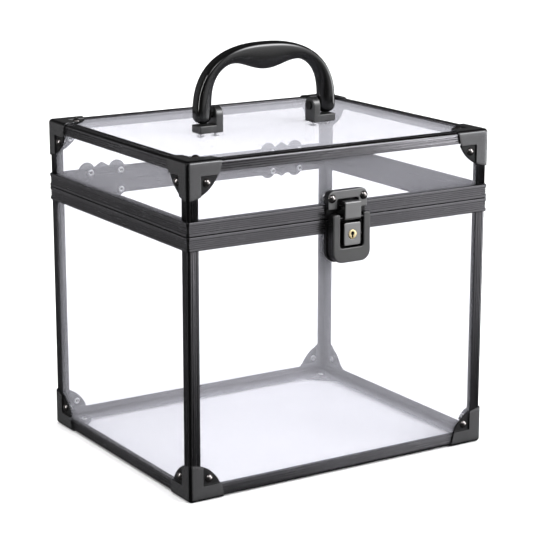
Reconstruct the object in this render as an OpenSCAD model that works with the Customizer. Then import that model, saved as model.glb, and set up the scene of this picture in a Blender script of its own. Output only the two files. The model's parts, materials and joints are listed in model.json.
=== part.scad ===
// Lockable donation box: clear panels held in slotted metal edge rails, steel corner caps,
// a lid that swings on two back hinges, a folding case handle and a keyed draw latch.
// Millimetres, +Z up. The origin is on the ground under the middle of the case; the front faces -Y.

/* [Case] */
// Width over the corner caps
case_w = 300; // [270:1:360]
// Depth over the corner caps
case_d = 250; // [220:1:320]
// Height over the corner caps, without the handle
case_h = 284; // [275:1:330]
// Height of the joint line between base and lid
split_z = 223; // [200:1:223]
// Thickness of the clear panels
panel_t = 3; // [2.8:0.1:3.1]

/* [Edge rails and rims] */
// Width of each leg of an edge rail
rail_leg = 10; // [9.8:0.1:10.2]
// Height of one rim bar, from its slotted edge to the joint line
rim_h = 12; // [11.5:0.1:13]
// Depth of a rim bar, from its outer face inwards
rim_depth = 8; // [7.5:0.1:10]
// Corner radius of the rim frame
rim_round = 2.5; // [1:0.1:3]

/* [Corner caps] */
// Reach of a cap along each edge
cap_reach = 32.5; // [30:0.5:33]
// Width of the raised band along each edge of a cap
cap_band = 13; // [12.6:0.1:13.5]
// Radius of the cap's outer edges
cap_round = 3.5; // [3:0.1:4]
// Distance of each cap rivet from both neighbouring outer planes
cap_rivet = 19; // [18.5:0.1:19.5]

/* [Hinges] */
// Distance of each hinge from the middle of the case
hinge_x = 97; // [60:1:100]
// Length of a hinge barrel
hinge_w = 47; // [44:1:50]

/* [Handle] */
// Half of the handle's width over its legs
handle_half = 71; // [66:1:74]
// Width of one handle leg
handle_leg = 16; // [14:0.5:16]
// Thickness of the handle from front to back
handle_t = 14; // [11:0.5:15]
// Height of the handle above its pivots
handle_rise = 60; // [52:1:66]
// Height of the pivots above the outer plane of the lid
handle_pivot = 12; // [12:0.5:15]

/* [Latch] */
// Width of the strike plate on the lid
strike_w = 38.4; // [37:0.2:42]
// Width of the latch lever
lever_w = 36.8; // [36:0.2:37.6]
// Length of the lever from its round top to its free end
lever_l = 41; // [38:0.5:44]

/* [Hidden] */
$fn = 48;
FRONT = 0;
RIGHT = 1;
BACK = 2;
LEFT = 3;
rail_black = [0.13, 0.13, 0.14];
steel_black = [0.20, 0.20, 0.21];
satin_grey = [0.38, 0.38, 0.39];
clear = [0.86, 0.89, 0.92, 0.35];

eps = 0.01;
fit = 0.05;                               // clearance of sliding and turning fits, on each side
joint_gap = 0.4;                          // gap between the two rims at the joint line
rail_inset = 1.2;                         // rails lie this far inside the outer planes
cap_t = 1.2;                              // sheet thickness of the corner caps
panel_out = rail_inset + 1.4;             // outer face of every clear panel
panel_in = panel_out + panel_t;           // inner face of every clear panel
rail_body = 5.8;                          // thickness of a rail across its slot walls
rail_tip = rail_inset + rail_leg;         // ends of the rail legs
panel_edge = rail_inset + rail_body + 0.2; // edges of the panels inside the rail slots
slot_end = panel_edge - 0.6;              // bottom of the rail slots
rail_round = 2.6;
post_end = rail_inset + cap_round - cap_t; // posts stop short of the caps' inner curve
rim_slot = 6.8;                           // depth of the panel slot in a rim
rim_bite = 6.3;                           // how far a panel stands in that slot
base_rim_z = split_z - rim_h;             // lower edge of the base rim
lid_rim_z = split_z + rim_h;              // upper edge of the lid rim
rim_bar = rim_h - joint_gap / 2;          // height of the bar itself
tongue = [3.0, 1.2, 2.0];                 // start, width and height of the base rim's tongue
groove = [2.5, 2.2, 2.4];                 // start, width and depth of the lid rim's groove

ear_top = panel_out - cap_t;              // outer face of a cap's riveted ear
shank_r = 1.6;                            // every rivet's shank
head_r = 3.8;
dome_h = 2.4;
pan_h = 1.2;

hinge_out = 4.4;                          // hinge axis behind the back plane
barrel_r = 3.6;
hinge_pin_r = 1.5;
leaf_t = 1.2;
leaf_start = barrel_r + 0.3;              // the leaf's plate starts clear of the other barrel
leaf_rivet = [15.2, 9];                   // rivets from the hinge middle and from the axis
leaf_lobe_r = 8.2;                        // round lobes, about their rivets
leaf_tooth = 16.8;                        // tip of the middle tooth, from the axis
leaf_valley = [7.6, 11.9];                // where the tooth meets a lobe
knuckles = 5;
knuckle_gap = 0.3;

pivot_z = case_h + handle_pivot;          // axis of the handle pins
bracket_d = 15;                           // front to back
bracket_x = [46.5, 70];                   // inner and outer end of a bracket
bracket_ear = 7;
bracket_top = case_h + 4;                 // top of a bracket's foot
bracket_rivets = [50, 65];
leg_r = 7.4;                              // round end of a handle leg
handle_pin_r = 2.5;
handle_pin_reach = 12;                     // how far a pin runs into its handle leg
handle_inner = handle_half - handle_leg;  // half of the finger gap's width

plate_t = 1.2;                            // sheet of the latch base plate
plate_half = 19.2;
plate_low = split_z - 37;
strike_t = 1.4;
strike_face = 4.6;                        // raised frame of the strike plate
strike_raised = split_z + 8.4;            // its lower edge, clear of the lever's turning arms
strike_top = split_z + 23.8;
strike_rivet = [15.7, 17.7];              // strike rivets from the middle and from the joint line
lever_axis = [5.4, split_z + 1.5];        // lever axis: out of the front plane, height
hasp_axis = [9.4, split_z + 1.5];         // hasp axis at rest
lever_face = 11;                          // outer face of the lever
lever_back = 7.2;
lever_top = split_z + 5;
lever_arm = 6.8;                          // width of each arm of the lever
lever_bar = 12.4;                         // height of the bar that joins them
lever_round = 9;
lever_pin_r = 1.5;
hasp_pin_r = 1.0;
hasp_half = 8;
hasp_top = split_z + 15.4;
hasp_face = 12.6;
hasp_t = 2.2;
lug_x = [9.2, 11.2];
block_half = 8.2;
block_z = [split_z - 21.8, split_z - 2.5];
block_face = 11.6;
lock_proud = 0.2;
lock_z = split_z - 12.5;
lock_r = 4;
cam_out = [3.6, 6.2];                     // the cam's place, out of the front plane
cam_l = 11.4;
cam_hub = 3;
latch_rivets = [[-14.5, split_z - 17], [14.5, split_z - 17], [-12, split_z - 31], [12, split_z - 31]];

// ---- places -------------------------------------------------------------------------------

function side_len(i) = i % 2 == 0 ? case_w : case_d;
function side_off(i) = side_len(i + 1) / 2;

// A side's own frame: X along it from its middle, Y inwards from the outer plane, Z up.
module at_side(i) {
    rotate([0, 0, 90 * i]) translate([0, -side_off(i), 0]) children();
}

// A corner's own frame: X and Y inwards from the two outer planes that meet there.
module at_corner(i) {
    rotate([0, 0, 90 * i]) translate([-side_len(i) / 2, -side_off(i), 0]) children();
}

// Turns the lid's parts over, so that they use the same shapes as the base.
module from_top() {
    translate([0, 0, case_h]) mirror([0, 0, 1]) children();
}

// Mirrors about the joint line between base and lid.
module about_split() {
    translate([0, 0, 2 * split_z]) mirror([0, 0, 1]) children();
}

// Extrudes an outline of (inwards, up) along a side, centred.
module along_side(l) {
    rotate([90, 0, 90]) translate([0, 0, -l / 2]) linear_extrude(l) children();
}

// Extrudes an outline of (along, up) outwards from the plane y = 0 of a side's frame.
module outwards(from, to) {
    translate([0, -from, 0]) rotate([90, 0, 0]) linear_extrude(to - from) children();
}

// Extrudes an outline of (out of the front plane, up) across the latch, from x0 to x1.
module across(x0, x1) {
    translate([x1, 0, 0]) rotate([90, 0, -90]) linear_extrude(x1 - x0) children();
}

module rod(x0, x1, r) {
    translate([x0, 0, 0]) rotate([0, 90, 0]) cylinder(r = r, h = x1 - x0);
}

// A rectangle with corner radii for its lower and its upper corners.
module round_plate(x, z0, z1, r_low, r_high) {
    for (s = [-1, 1]) {
        translate([s * (x - r_low), z0 + r_low]) circle(r_low);
        translate([s * (x - r_high), z1 - r_high]) circle(r_high);
    }
    translate([-x + r_low, z0]) square([2 * (x - r_low), z1 - z0 - r_high]);
    translate([-x + r_high, z0 + r_low]) square([2 * (x - r_high), z1 - z0 - r_low]);
    translate([-x, z0 + r_low]) square([2 * x, z1 - z0 - r_low - r_high]);
}

// ---- fasteners ----------------------------------------------------------------------------

// Tubular rivet: head outside z = 0, shank along +Z through grip, rolled tail with an open end.
module rivet(grip, head_h = dome_h, r = head_r) {
    ball = (r * r + head_h * head_h) / (2 * head_h);
    difference() {
        union() {
            intersection() {
                translate([0, 0, ball - head_h]) sphere(ball);
                translate([0, 0, -head_h]) cylinder(r = r + 1, h = head_h);
            }
            cylinder(r = shank_r, h = grip + 0.9);
            translate([0, 0, grip]) cylinder(r1 = 3.1, r2 = 2.7, h = 0.9);
        }
        translate([0, 0, grip - 2]) cylinder(r = 1.1, h = 3);
    }
}

module rivet_hole() {
    translate([0, 0, -1]) cylinder(r = shank_r + fit, h = 30);
}

// Puts a child at a side's (x, z), starting at depth from the outer plane and pointing inwards.
module inwards_at(x, z, depth = 0) {
    translate([x, depth, z]) rotate([-90, 0, 0]) children();
}

// ---- panels, rails, rims ------------------------------------------------------------------

module flat_panel() {
    w = case_w - 2 * panel_edge;
    d = case_d - 2 * panel_edge;
    color(clear) difference() {
        translate([-w / 2, -d / 2, panel_out]) cube([w, d, panel_t]);
        for (i = [0:3]) at_corner(i) translate([cap_rivet, cap_rivet, 0]) rivet_hole();
    }
}

module wall_panel(i, z0, z1, rivet_z) {
    l = side_len(i) - 2 * panel_edge;
    at_side(i) difference() {
        translate([-l / 2, panel_out, z0]) cube([l, panel_t, z1 - z0]);
        for (s = [-1, 1]) inwards_at(s * (side_len(i) / 2 - cap_rivet), rivet_z) rivet_hole();
    }
}

module hinge_holes(up) {
    for (h = [-1, 1], s = [-1, 1])
        inwards_at(h * hinge_x + s * leaf_rivet[0], split_z + up * leaf_rivet[1]) rivet_hole();
}

module latch_holes() {
    for (p = latch_rivets) inwards_at(p[0], p[1]) rivet_hole();
}

module strike_holes() {
    for (s = [-1, 1]) inwards_at(s * strike_rivet[0], split_z + strike_rivet[1]) rivet_hole();
}

module base_panel(i) {
    color(clear) difference() {
        wall_panel(i, panel_edge, base_rim_z + rim_bite, cap_rivet);
        if (i == FRONT) at_side(i) latch_holes();
        if (i == BACK) at_side(i) hinge_holes(-1);
    }
}

module lid_panel(i) {
    color(clear) difference() {
        wall_panel(i, lid_rim_z - rim_bite, case_h - panel_edge, case_h - cap_rivet);
        if (i == FRONT) at_side(i) strike_holes();
        if (i == BACK) at_side(i) hinge_holes(1);
    }
}

// Edge rail: two legs at a right angle, each with a slot for a panel, ribbed on its outer faces.
module rail_face_grooves() {
    for (g = [[4.4, 0.7, 0.6], [6.5, 0.4, 0.3], [8.4, 0.7, 0.5]])
        translate([g[0], rail_inset - eps]) square([g[1], g[2] + eps]);
}

module rail_leg_shape() {
    translate([rail_inset + rail_round, rail_inset]) square([rail_leg - rail_round, rail_body]);
}

module rail_slot_shape() {
    translate([slot_end, panel_out - fit]) square([rail_leg, panel_t + 2 * fit]);
}

module swap_axes() {
    children();
    mirror([1, -1]) children();
}

module rail_section() {
    difference() {
        union() {
            swap_axes() rail_leg_shape();
            translate([rail_inset + rail_round, rail_inset + rail_round]) circle(rail_round);
        }
        swap_axes() {
            rail_slot_shape();
            rail_face_grooves();
        }
    }
}

module edge_rail(i) {
    color(rail_black) at_side(i) along_side(side_len(i) - 2 * rail_tip) rail_section();
}

module posts(z0, z1) {
    color(rail_black) for (i = [0:3]) at_corner(i)
        translate([0, 0, z0]) linear_extrude(z1 - z0) rail_section();
}

// Rim bar: raised bands at both edges, fine ribs between them, and a slot for the panel below.
module rim_section() {
    band = 2.4;
    dip = 0.5;
    difference() {
        polygon([
            [rim_depth, 0], [0.8, 0], [0, 0.8], [0, band], [dip, band + 0.3],
            [dip, rim_bar - band - 0.3], [0, rim_bar - band], [0, rim_bar - 0.4],
            [0.4, rim_bar], [rim_depth, rim_bar]
        ]);
        translate([panel_out - fit, -eps]) square([panel_t + 2 * fit, rim_slot + eps]);
        for (k = [-1:1]) translate([0, rim_bar / 2 + 1.6 * k - 0.25]) square([dip + 0.3, 0.5]);
    }
}

module base_rim_section() {
    rim_section();
    translate([tongue[0], rim_bar - eps]) square([tongue[1], tongue[2] + eps]);
}

module lid_rim_section() {
    difference() {
        rim_section();
        translate([groove[0], rim_bar - groove[2]]) square([groove[1], groove[2] + eps]);
    }
}

// Four bars make a rim, mitred at its corners and rounded on its outside.
module rim_bar_of(i) {
    l = side_len(i);
    tall = rim_h + 4;
    intersection() {
        at_side(i) translate([0, 0, base_rim_z]) along_side(l) children();
        at_side(i) translate([0, 0, base_rim_z - 1]) linear_extrude(tall) polygon([
            [-l / 2, 0], [l / 2, 0], [l / 2 - rim_depth, rim_depth], [-l / 2 + rim_depth, rim_depth]
        ]);
        translate([0, 0, base_rim_z - 1]) linear_extrude(tall) translate([0, -case_d / 2])
            round_plate(case_w / 2, 0, case_d, rim_round, rim_round);
    }
}

module base_rim(i) {
    color(rail_black) difference() {
        rim_bar_of(i) base_rim_section();
        if (i == BACK) at_side(i) hinge_holes(-1);
    }
}

module lid_rim(i) {
    color(rail_black) difference() {
        about_split() rim_bar_of(i) lid_rim_section();
        if (i == BACK) at_side(i) hinge_holes(1);
    }
}

// ---- corner caps --------------------------------------------------------------------------

// Makes a shape for one face of a cap into one for each of its three faces.
module three_faces() {
    children();
    rotate([90, 0, 90]) children();
    rotate([0, -90, -90]) children();
}

module corner_outline(inset, r) {
    translate([inset + r, inset]) square([cap_reach, cap_reach]);
    translate([inset, inset + r]) square([cap_reach, cap_reach]);
    translate([inset + r, inset + r]) circle(r);
}

// A block with its corner at the origin and rounded edges, moved in from the outer planes.
module corner_block(inset, r) {
    intersection_for(turn = [[0, 0, 0], [90, 0, 90], [0, -90, -90]])
        rotate(turn) linear_extrude(cap_reach + 2) corner_outline(inset, r);
}

module corner_cap() {
    color(steel_black) difference() {
        intersection() {
            corner_block(0, cap_round);
            three_faces() intersection() {
                cylinder(r = cap_reach, h = panel_out);
                cube(cap_reach + 1);
            }
        }
        difference() {
            corner_block(cap_t, cap_round - cap_t);
            three_faces() translate([cap_band - cap_t, cap_band - cap_t, -1])
                cube([cap_reach, cap_reach, panel_out + 1]);
        }
        three_faces() translate([cap_band, cap_band, -1]) cube([cap_reach, cap_reach, ear_top + 1]);
        three_faces() translate([cap_rivet, cap_rivet, 0]) rivet_hole();
    }
}

module base_corner(i) {
    at_corner(i) corner_cap();
}

module lid_corner(i) {
    from_top() at_corner(i) corner_cap();
}

// Domed rivets on the upright faces; the level face takes domed ones on the lid, pan heads below.
module corner_rivets(level_head) {
    grip = panel_in - ear_top;
    color(rail_black) for (i = [0:3]) at_corner(i) {
        translate([cap_rivet, cap_rivet, ear_top]) rivet(grip, level_head);
        inwards_at(cap_rivet, cap_rivet, ear_top) rivet(grip);
        translate([ear_top, cap_rivet, cap_rivet]) rotate([0, 90, 0]) rivet(grip);
    }
}

// ---- hinges -------------------------------------------------------------------------------

module leaf_outline() {
    for (s = [-1, 1]) intersection() {
        translate([s * leaf_rivet[0], leaf_rivet[1]]) circle(leaf_lobe_r);
        translate([-hinge_w, leaf_rivet[1] - 1]) square([2 * hinge_w, leaf_tooth]);
    }
    translate([-hinge_w / 2, leaf_start]) square([hinge_w, leaf_rivet[1] - leaf_start]);
    polygon([[-leaf_rivet[0], leaf_start], [leaf_rivet[0], leaf_start], leaf_valley,
        [0, leaf_tooth], [-leaf_valley[0], leaf_valley[1]]]);
}

// One hinge leaf above its axis, in a frame with X along the pin and Y inwards.
module hinge_leaf(first) {
    step = hinge_w / knuckles;
    difference() {
        union() {
            outwards(0, leaf_t) leaf_outline();
            for (k = [first:2:knuckles - 1]) {
                x = -hinge_w / 2 + k * step + knuckle_gap / 2;
                translate([x, -leaf_t, 0]) cube([step - knuckle_gap, leaf_t, leaf_start + 1]);
                translate([0, -hinge_out, 0]) rod(x, x + step - knuckle_gap, barrel_r);
            }
        }
        translate([0, -hinge_out, 0]) rod(-hinge_w, hinge_w, hinge_pin_r + fit);
        for (s = [-1, 1]) inwards_at(s * leaf_rivet[0], leaf_rivet[1], -leaf_t) rivet_hole();
    }
}

// side is -1 for the left hinge and 1 for the right one, as seen from the front.
module hinge_lid_leaf(side) {
    color(satin_grey) at_side(BACK) translate([-side * hinge_x, 0, split_z]) hinge_leaf(1);
}

module hinge_base_leaf(side) {
    color(satin_grey) about_split() at_side(BACK)
        translate([-side * hinge_x, 0, split_z]) hinge_leaf(0);
}

module hinge_pins() {
    color("silver") for (s = [-1, 1])
        translate([s * hinge_x, case_d / 2 + hinge_out, split_z])
            rod(-hinge_w / 2 + 0.2, hinge_w / 2 - 0.2, hinge_pin_r);
}

module hinge_rivets(up) {
    grip = rim_depth + leaf_t;
    at_side(BACK) for (h = [-1, 1], s = [-1, 1])
        inwards_at(h * hinge_x + s * leaf_rivet[0], split_z + up * leaf_rivet[1], -leaf_t)
            rivet(grip, 1.4, 3.2);
}

module base_fitting_rivets() {
    color(rail_black) {
        hinge_rivets(-1);
        at_side(FRONT) for (p = latch_rivets)
            inwards_at(p[0], p[1], -plate_t) rivet(panel_in + plate_t, 0.9, 3);
    }
}

module lid_fitting_rivets() {
    color(rail_black) {
        hinge_rivets(1);
        at_side(FRONT) for (s = [-1, 1])
            inwards_at(s * strike_rivet[0], split_z + strike_rivet[1], -strike_face)
                rivet(panel_in + strike_face);
    }
}

// ---- handle -------------------------------------------------------------------------------

// Height at x of a rounded arch (a superellipse) of half width w, height h and squareness n.
function arch(x, w, h, n) = h * pow(max(0, 1 - pow(abs(x) / w, n)), 1 / n);

// The grip hangs down into the finger gap in a soft belly.
function belly(x) = abs(x) < 33 ? 7 * (0.5 + 0.5 * cos(180 * x / 33)) : 0;
function bend(k, n) = -cos(180 * k / n);

function leg_end(mid, n) = [for (k = [1:n - 1]) [mid - handle_leg / 2 * bend(k, n),
    -leg_r * sin(180 * k / n)]];

module handle_outline() {
    steps = 28;
    finger_h = handle_rise - 15;
    leg_mid = (handle_half + handle_inner) / 2;
    polygon(concat(
        [for (k = [0:steps]) let (x = handle_half * bend(k, steps))
            [x, arch(x, handle_half, handle_rise, 2.4)]],
        leg_end(leg_mid, 16),
        [for (k = [steps:-1:0]) let (x = handle_inner * bend(k, steps))
            [x, max(0, arch(x, handle_inner, finger_h, 3.4) - belly(x))]],
        leg_end(-leg_mid, 16)
    ));
}

module handle_grip() {
    color([0.06, 0.06, 0.06]) translate([0, 0, pivot_z]) difference() {
        intersection() {
            translate([0, handle_t / 2, 0]) rotate([90, 0, 0]) linear_extrude(handle_t) handle_outline();
            union() {
                rod(-case_w, case_w, leg_r);
                translate([-case_w, -case_d, 0]) cube([2 * case_w, 2 * case_d, case_h]);
            }
        }
        for (s = [0, 1]) mirror([s, 0, 0])
            rod(handle_inner - 1, handle_inner + handle_pin_reach + 0.1, handle_pin_r + fit);
    }
}

// Pivot pins: each runs from a head inside the bracket's ear into a handle leg.
module handle_pins() {
    head = 1.2;
    color("silver") for (s = [0, 1]) mirror([s, 0, 0]) translate([0, 0, pivot_z]) {
        rod(bracket_x[0] - head, handle_inner + handle_pin_reach, handle_pin_r);
        rod(bracket_x[0] - head, bracket_x[0] - 0.1, handle_pin_r + 1.4);
    }
}

// Bracket on the lid: a foot with an upright round ear at its inner end.
module handle_bracket(side) {
    foot_low = case_h - panel_out;
    color(satin_grey) mirror([side < 0 ? 1 : 0, 0, 0]) difference() {
        union() {
            translate([bracket_x[0], -bracket_d / 2, foot_low])
                cube([bracket_x[1] - bracket_x[0], bracket_d, bracket_top - foot_low]);
            translate([bracket_x[0], -bracket_d / 2, foot_low])
                cube([bracket_ear, bracket_d, pivot_z - foot_low]);
            translate([0, 0, pivot_z]) rod(bracket_x[0], bracket_x[0] + bracket_ear, bracket_d / 2);
        }
        translate([0, 0, pivot_z]) rod(0, case_w, handle_pin_r + fit);
        for (x = bracket_rivets) translate([x, 0, foot_low - 1])
            cylinder(r = shank_r + fit, h = 6);
    }
}

module handle_bracket_rivets() {
    color(rail_black) for (s = [-1, 1], x = bracket_rivets)
        translate([s * x, 0, case_h - panel_in]) {
            cylinder(r = shank_r, h = panel_t + 4.8);
            translate([0, 0, -1.2]) cylinder(r1 = 2.8, r2 = 3.4, h = 1.2);
        }
}

module lid_top_panel() {
    color(clear) difference() {
        from_top() flat_panel();
        for (s = [-1, 1], x = bracket_rivets)
            translate([s * x, 0, case_h - 10]) cylinder(r = shank_r + fit, h = 20);
    }
}

// ---- latch --------------------------------------------------------------------------------

// Strike plate on the lid: thick over the panel, thin over the rim, with a catch in a pocket.
module latch_strike_plate() {
    low = split_z + 0.6;
    color(satin_grey) at_side(FRONT) difference() {
        union() {
            outwards(0, strike_t) round_plate(strike_w / 2, low, strike_top, 1, 5);
            outwards(0, strike_face) round_plate(strike_w / 2, strike_raised, strike_top, 1, 5);
            outwards(-panel_out, eps) intersection() {
                round_plate(strike_w / 2, low, strike_top, 1, 5);
                translate([-strike_w, lid_rim_z + 0.2]) square([2 * strike_w, 30]);
            }
            outwards(0.4, 4.2) translate([-6.5, split_z + 7]) square([13, 3.5]);
        }
        difference() {
            outwards(0.4, strike_face + 1) translate([-10.6, low - 1]) square([21.2, 17]);
            outwards(0, strike_face + 2) translate([-6.5, split_z + 7]) square([13, 3.5]);
        }
        translate([0, -strike_face, 0]) strike_holes();
    }
}

// Base plate: sheet over the rim, thick over the panel, with two lugs for the lever's pin.
module latch_base_plate() {
    high = split_z - 0.6;
    color(steel_black) at_side(FRONT) difference() {
        union() {
            outwards(0, plate_t) round_plate(plate_half, plate_low, high, lever_round + 1, 1);
            outwards(-panel_out, eps) intersection() {
                round_plate(plate_half, plate_low, high, lever_round + 1, 1);
                translate([-plate_half, plate_low]) square([2 * plate_half, base_rim_z - plate_low - 0.2]);
            }
            for (x = lug_x[0] * [-1, 1]) mirror([x < 0 ? 1 : 0, 0, 0]) across(lug_x[0], lug_x[1]) {
                translate(lever_axis) circle(2.6);
                polygon([[plate_t - eps, split_z - 9.5], [plate_t - eps, high - 0.2],
                    [lever_axis[0] - 2.2, lever_axis[1] + 1], [lever_axis[0] + 2.5, lever_axis[1] - 0.6],
                    [4, split_z - 9.5]]);
            }
        }
        translate([0, -lever_axis[0], lever_axis[1]]) rod(-lever_w, lever_w, lever_pin_r + fit);
        translate([0, -plate_t, 0]) latch_holes();
    }
}

module latch_lever_pin() {
    color("silver") at_side(FRONT) translate([0, -lever_axis[0], lever_axis[1]])
        rod(-lever_w / 2 + 0.6, lever_w / 2 - 0.6, lever_pin_r);
}

// Lever: a U of two arms and a bar, with side flanges and round eyes at the top of its arms.
module lever_u_outline(low) {
    inner = lever_w / 2 - lever_arm;
    difference() {
        round_plate(lever_w / 2, low, lever_top, lever_round, 2.5);
        translate([-inner, low + lever_bar]) square([2 * inner, lever_l]);
    }
}

module latch_lever() {
    low = lever_top - lever_l;
    rim_t = 1.6;
    color(satin_grey) at_side(FRONT) difference() {
        union() {
            outwards(lever_back, lever_face) lever_u_outline(low);
            outwards(2.6, lever_back + eps) difference() {
                intersection() {
                    round_plate(lever_w / 2, low, lever_top, lever_round, 2.5);
                    translate([-lever_w, low]) square([2 * lever_w, lever_l - 9]);
                }
                round_plate(lever_w / 2 - rim_t, low + rim_t, lever_top + 9, lever_round - rim_t, 2.5);
            }
            for (s = [0, 1]) mirror([s, 0, 0]) across(lever_w / 2 - lever_arm, lever_w / 2) {
                translate(lever_axis) circle(3.5);
                translate([lever_axis[0], lever_axis[1] - 3.5]) square([3, 6.8]);
            }
        }
        translate([0, -lever_axis[0], lever_axis[1]]) rod(-lever_w, lever_w, lever_pin_r + fit);
        translate([0, -hasp_axis[0], hasp_axis[1]])
            rod(-lever_w / 2 + 3, lever_w / 2 - 3, hasp_pin_r + fit);
        across(-lever_w, lever_w) difference() {
            translate([lever_face - 2, lever_top - 2]) square(3);
            translate([lever_face - 2, lever_top - 2]) circle(2);
        }
    }
}

module latch_hasp_pin() {
    color("silver") at_side(FRONT) translate([0, -hasp_axis[0], hasp_axis[1]])
        rod(-lever_w / 2 + 3.1, lever_w / 2 - 3.1, hasp_pin_r);
}

// Hasp: hangs on its own pin in the lever; its top reaches back over the strike plate's catch.
module latch_hasp() {
    color(satin_grey) at_side(FRONT) difference() {
        across(-hasp_half, hasp_half) {
            translate(hasp_axis) circle(1.8);
            translate([hasp_axis[0], hasp_axis[1] - 1.8]) square([hasp_face - hasp_axis[0] - 1, 4]);
            translate([hasp_face - hasp_t, hasp_axis[1] - 0.8])
                square([hasp_t, hasp_top - hasp_axis[1] - 0.2]);
            translate([4.8, hasp_top - 4]) square([hasp_face - 5.8, 4]);
            translate([hasp_face - 1, hasp_top - 1]) circle(1);
        }
        translate([0, -hasp_axis[0], hasp_axis[1]]) rod(-lever_w, lever_w, hasp_pin_r + fit);
    }
}

module lock_block() {
    color(satin_grey) at_side(FRONT) difference() {
        outwards(plate_t, block_face) round_plate(block_half, block_z[0], block_z[1], 1, 1);
        inwards_at(0, lock_z, -block_face - 1) cylinder(r = lock_r + fit, h = block_face - 1);
        outwards(cam_out[0] - 0.3, cam_out[1] + 0.3) intersection() {
            translate([0, lock_z]) circle(cam_l + 0.6);
            translate([-cam_hub - 0.5, lock_z - 2 * cam_l]) square([2 * cam_l, 2 * cam_l + cam_hub + 0.5]);
        }
    }
}

module lock_cylinder() {
    color([0.80, 0.66, 0.36]) at_side(FRONT) difference() {
        inwards_at(0, lock_z, -block_face - lock_proud)
            cylinder(r = lock_r, h = block_face + lock_proud - cam_out[1]);
        outwards(block_face - 4, block_face + 1) {
            translate([-0.6, lock_z - 2.8]) square([1.2, 4.6]);
            translate([0, lock_z + 1]) circle(1.1);
        }
    }
}

// The cam rests across the block; a quarter turn brings it down behind the lever's bar.
module lock_cam() {
    color("silver") at_side(FRONT) outwards(cam_out[0], cam_out[1]) {
        translate([0, lock_z]) circle(cam_hub);
        translate([0, lock_z - 2]) square([cam_l, 4]);
    }
}

// ---- nodes --------------------------------------------------------------------------------

flat_panel();  // floor_panel
base_panel(FRONT);  // base_front_panel
base_panel(RIGHT);  // base_right_panel
base_panel(BACK);  // base_back_panel
base_panel(LEFT);  // base_left_panel
edge_rail(FRONT);  // floor_rail_front
edge_rail(RIGHT);  // floor_rail_right
edge_rail(BACK);  // floor_rail_back
edge_rail(LEFT);  // floor_rail_left
posts(post_end, base_rim_z);  // base_posts
base_rim(FRONT);  // base_rim_front
base_rim(RIGHT);  // base_rim_right
base_rim(BACK);  // base_rim_back
base_rim(LEFT);  // base_rim_left
base_corner(0);  // base_corner_front_left
base_corner(1);  // base_corner_front_right
base_corner(2);  // base_corner_back_right
base_corner(3);  // base_corner_back_left
corner_rivets(pan_h);  // base_corner_rivets
hinge_base_leaf(-1);  // hinge_base_leaf_left
hinge_base_leaf(1);  // hinge_base_leaf_right
hinge_pins();
base_fitting_rivets();
latch_base_plate();
lock_block();
latch_lever_pin();
lid_top_panel();
lid_panel(FRONT);  // lid_front_panel
lid_panel(RIGHT);  // lid_right_panel
lid_panel(BACK);  // lid_back_panel
lid_panel(LEFT);  // lid_left_panel
from_top() edge_rail(FRONT);  // lid_rail_front
from_top() edge_rail(RIGHT);  // lid_rail_right
from_top() edge_rail(BACK);  // lid_rail_back
from_top() edge_rail(LEFT);  // lid_rail_left
posts(lid_rim_z, case_h - post_end);  // lid_posts
lid_rim(FRONT);  // lid_rim_front
lid_rim(RIGHT);  // lid_rim_right
lid_rim(BACK);  // lid_rim_back
lid_rim(LEFT);  // lid_rim_left
lid_corner(0);  // lid_corner_front_left
lid_corner(1);  // lid_corner_front_right
lid_corner(2);  // lid_corner_back_right
lid_corner(3);  // lid_corner_back_left
from_top() corner_rivets(dome_h);  // lid_corner_rivets
hinge_lid_leaf(-1);  // hinge_lid_leaf_left
hinge_lid_leaf(1);  // hinge_lid_leaf_right
lid_fitting_rivets();
latch_strike_plate();
handle_bracket(-1);  // handle_bracket_left
handle_bracket(1);  // handle_bracket_right
handle_bracket_rivets();
handle_grip();
handle_pins();
latch_lever();
latch_hasp_pin();
latch_hasp();
lock_cylinder();
lock_cam();
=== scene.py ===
# %% [markdown]
# # A clear, lockable donation box
#
# The CAD model gives the box its real sizes and its moving bodies. This script dresses it: it gives every
# piece a finish, and it swaps the pieces that the eye rests on (corner caps, rivets, the moulded handle,
# hinges and latch) for smoother ones of the same size. A new piece is always a surface worked out with
# numpy: a function of two parameters on a grid, or a profile carried along a path.

# %% Load the frame
import json
import math

import bmesh
import bpy
import numpy as np
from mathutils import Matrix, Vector


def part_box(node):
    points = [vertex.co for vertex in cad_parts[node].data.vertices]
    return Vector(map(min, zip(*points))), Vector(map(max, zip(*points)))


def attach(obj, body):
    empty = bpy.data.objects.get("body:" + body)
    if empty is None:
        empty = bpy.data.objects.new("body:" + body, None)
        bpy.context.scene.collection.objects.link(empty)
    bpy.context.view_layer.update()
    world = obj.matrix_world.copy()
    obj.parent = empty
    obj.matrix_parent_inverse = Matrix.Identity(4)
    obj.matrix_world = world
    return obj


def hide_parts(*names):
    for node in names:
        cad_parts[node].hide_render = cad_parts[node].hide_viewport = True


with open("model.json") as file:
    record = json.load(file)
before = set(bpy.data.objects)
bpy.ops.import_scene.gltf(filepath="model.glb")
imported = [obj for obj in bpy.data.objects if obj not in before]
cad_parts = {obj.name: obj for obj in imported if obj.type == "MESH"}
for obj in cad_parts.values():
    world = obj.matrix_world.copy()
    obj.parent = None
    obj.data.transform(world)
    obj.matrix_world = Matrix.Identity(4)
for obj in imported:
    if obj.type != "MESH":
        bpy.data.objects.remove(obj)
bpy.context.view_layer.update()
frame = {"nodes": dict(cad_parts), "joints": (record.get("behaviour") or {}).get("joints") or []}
nodes = frame["nodes"]
joints = {j["name"]: np.array(j["pos_m"]) for j in frame["joints"]}
MM = 0.001

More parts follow.
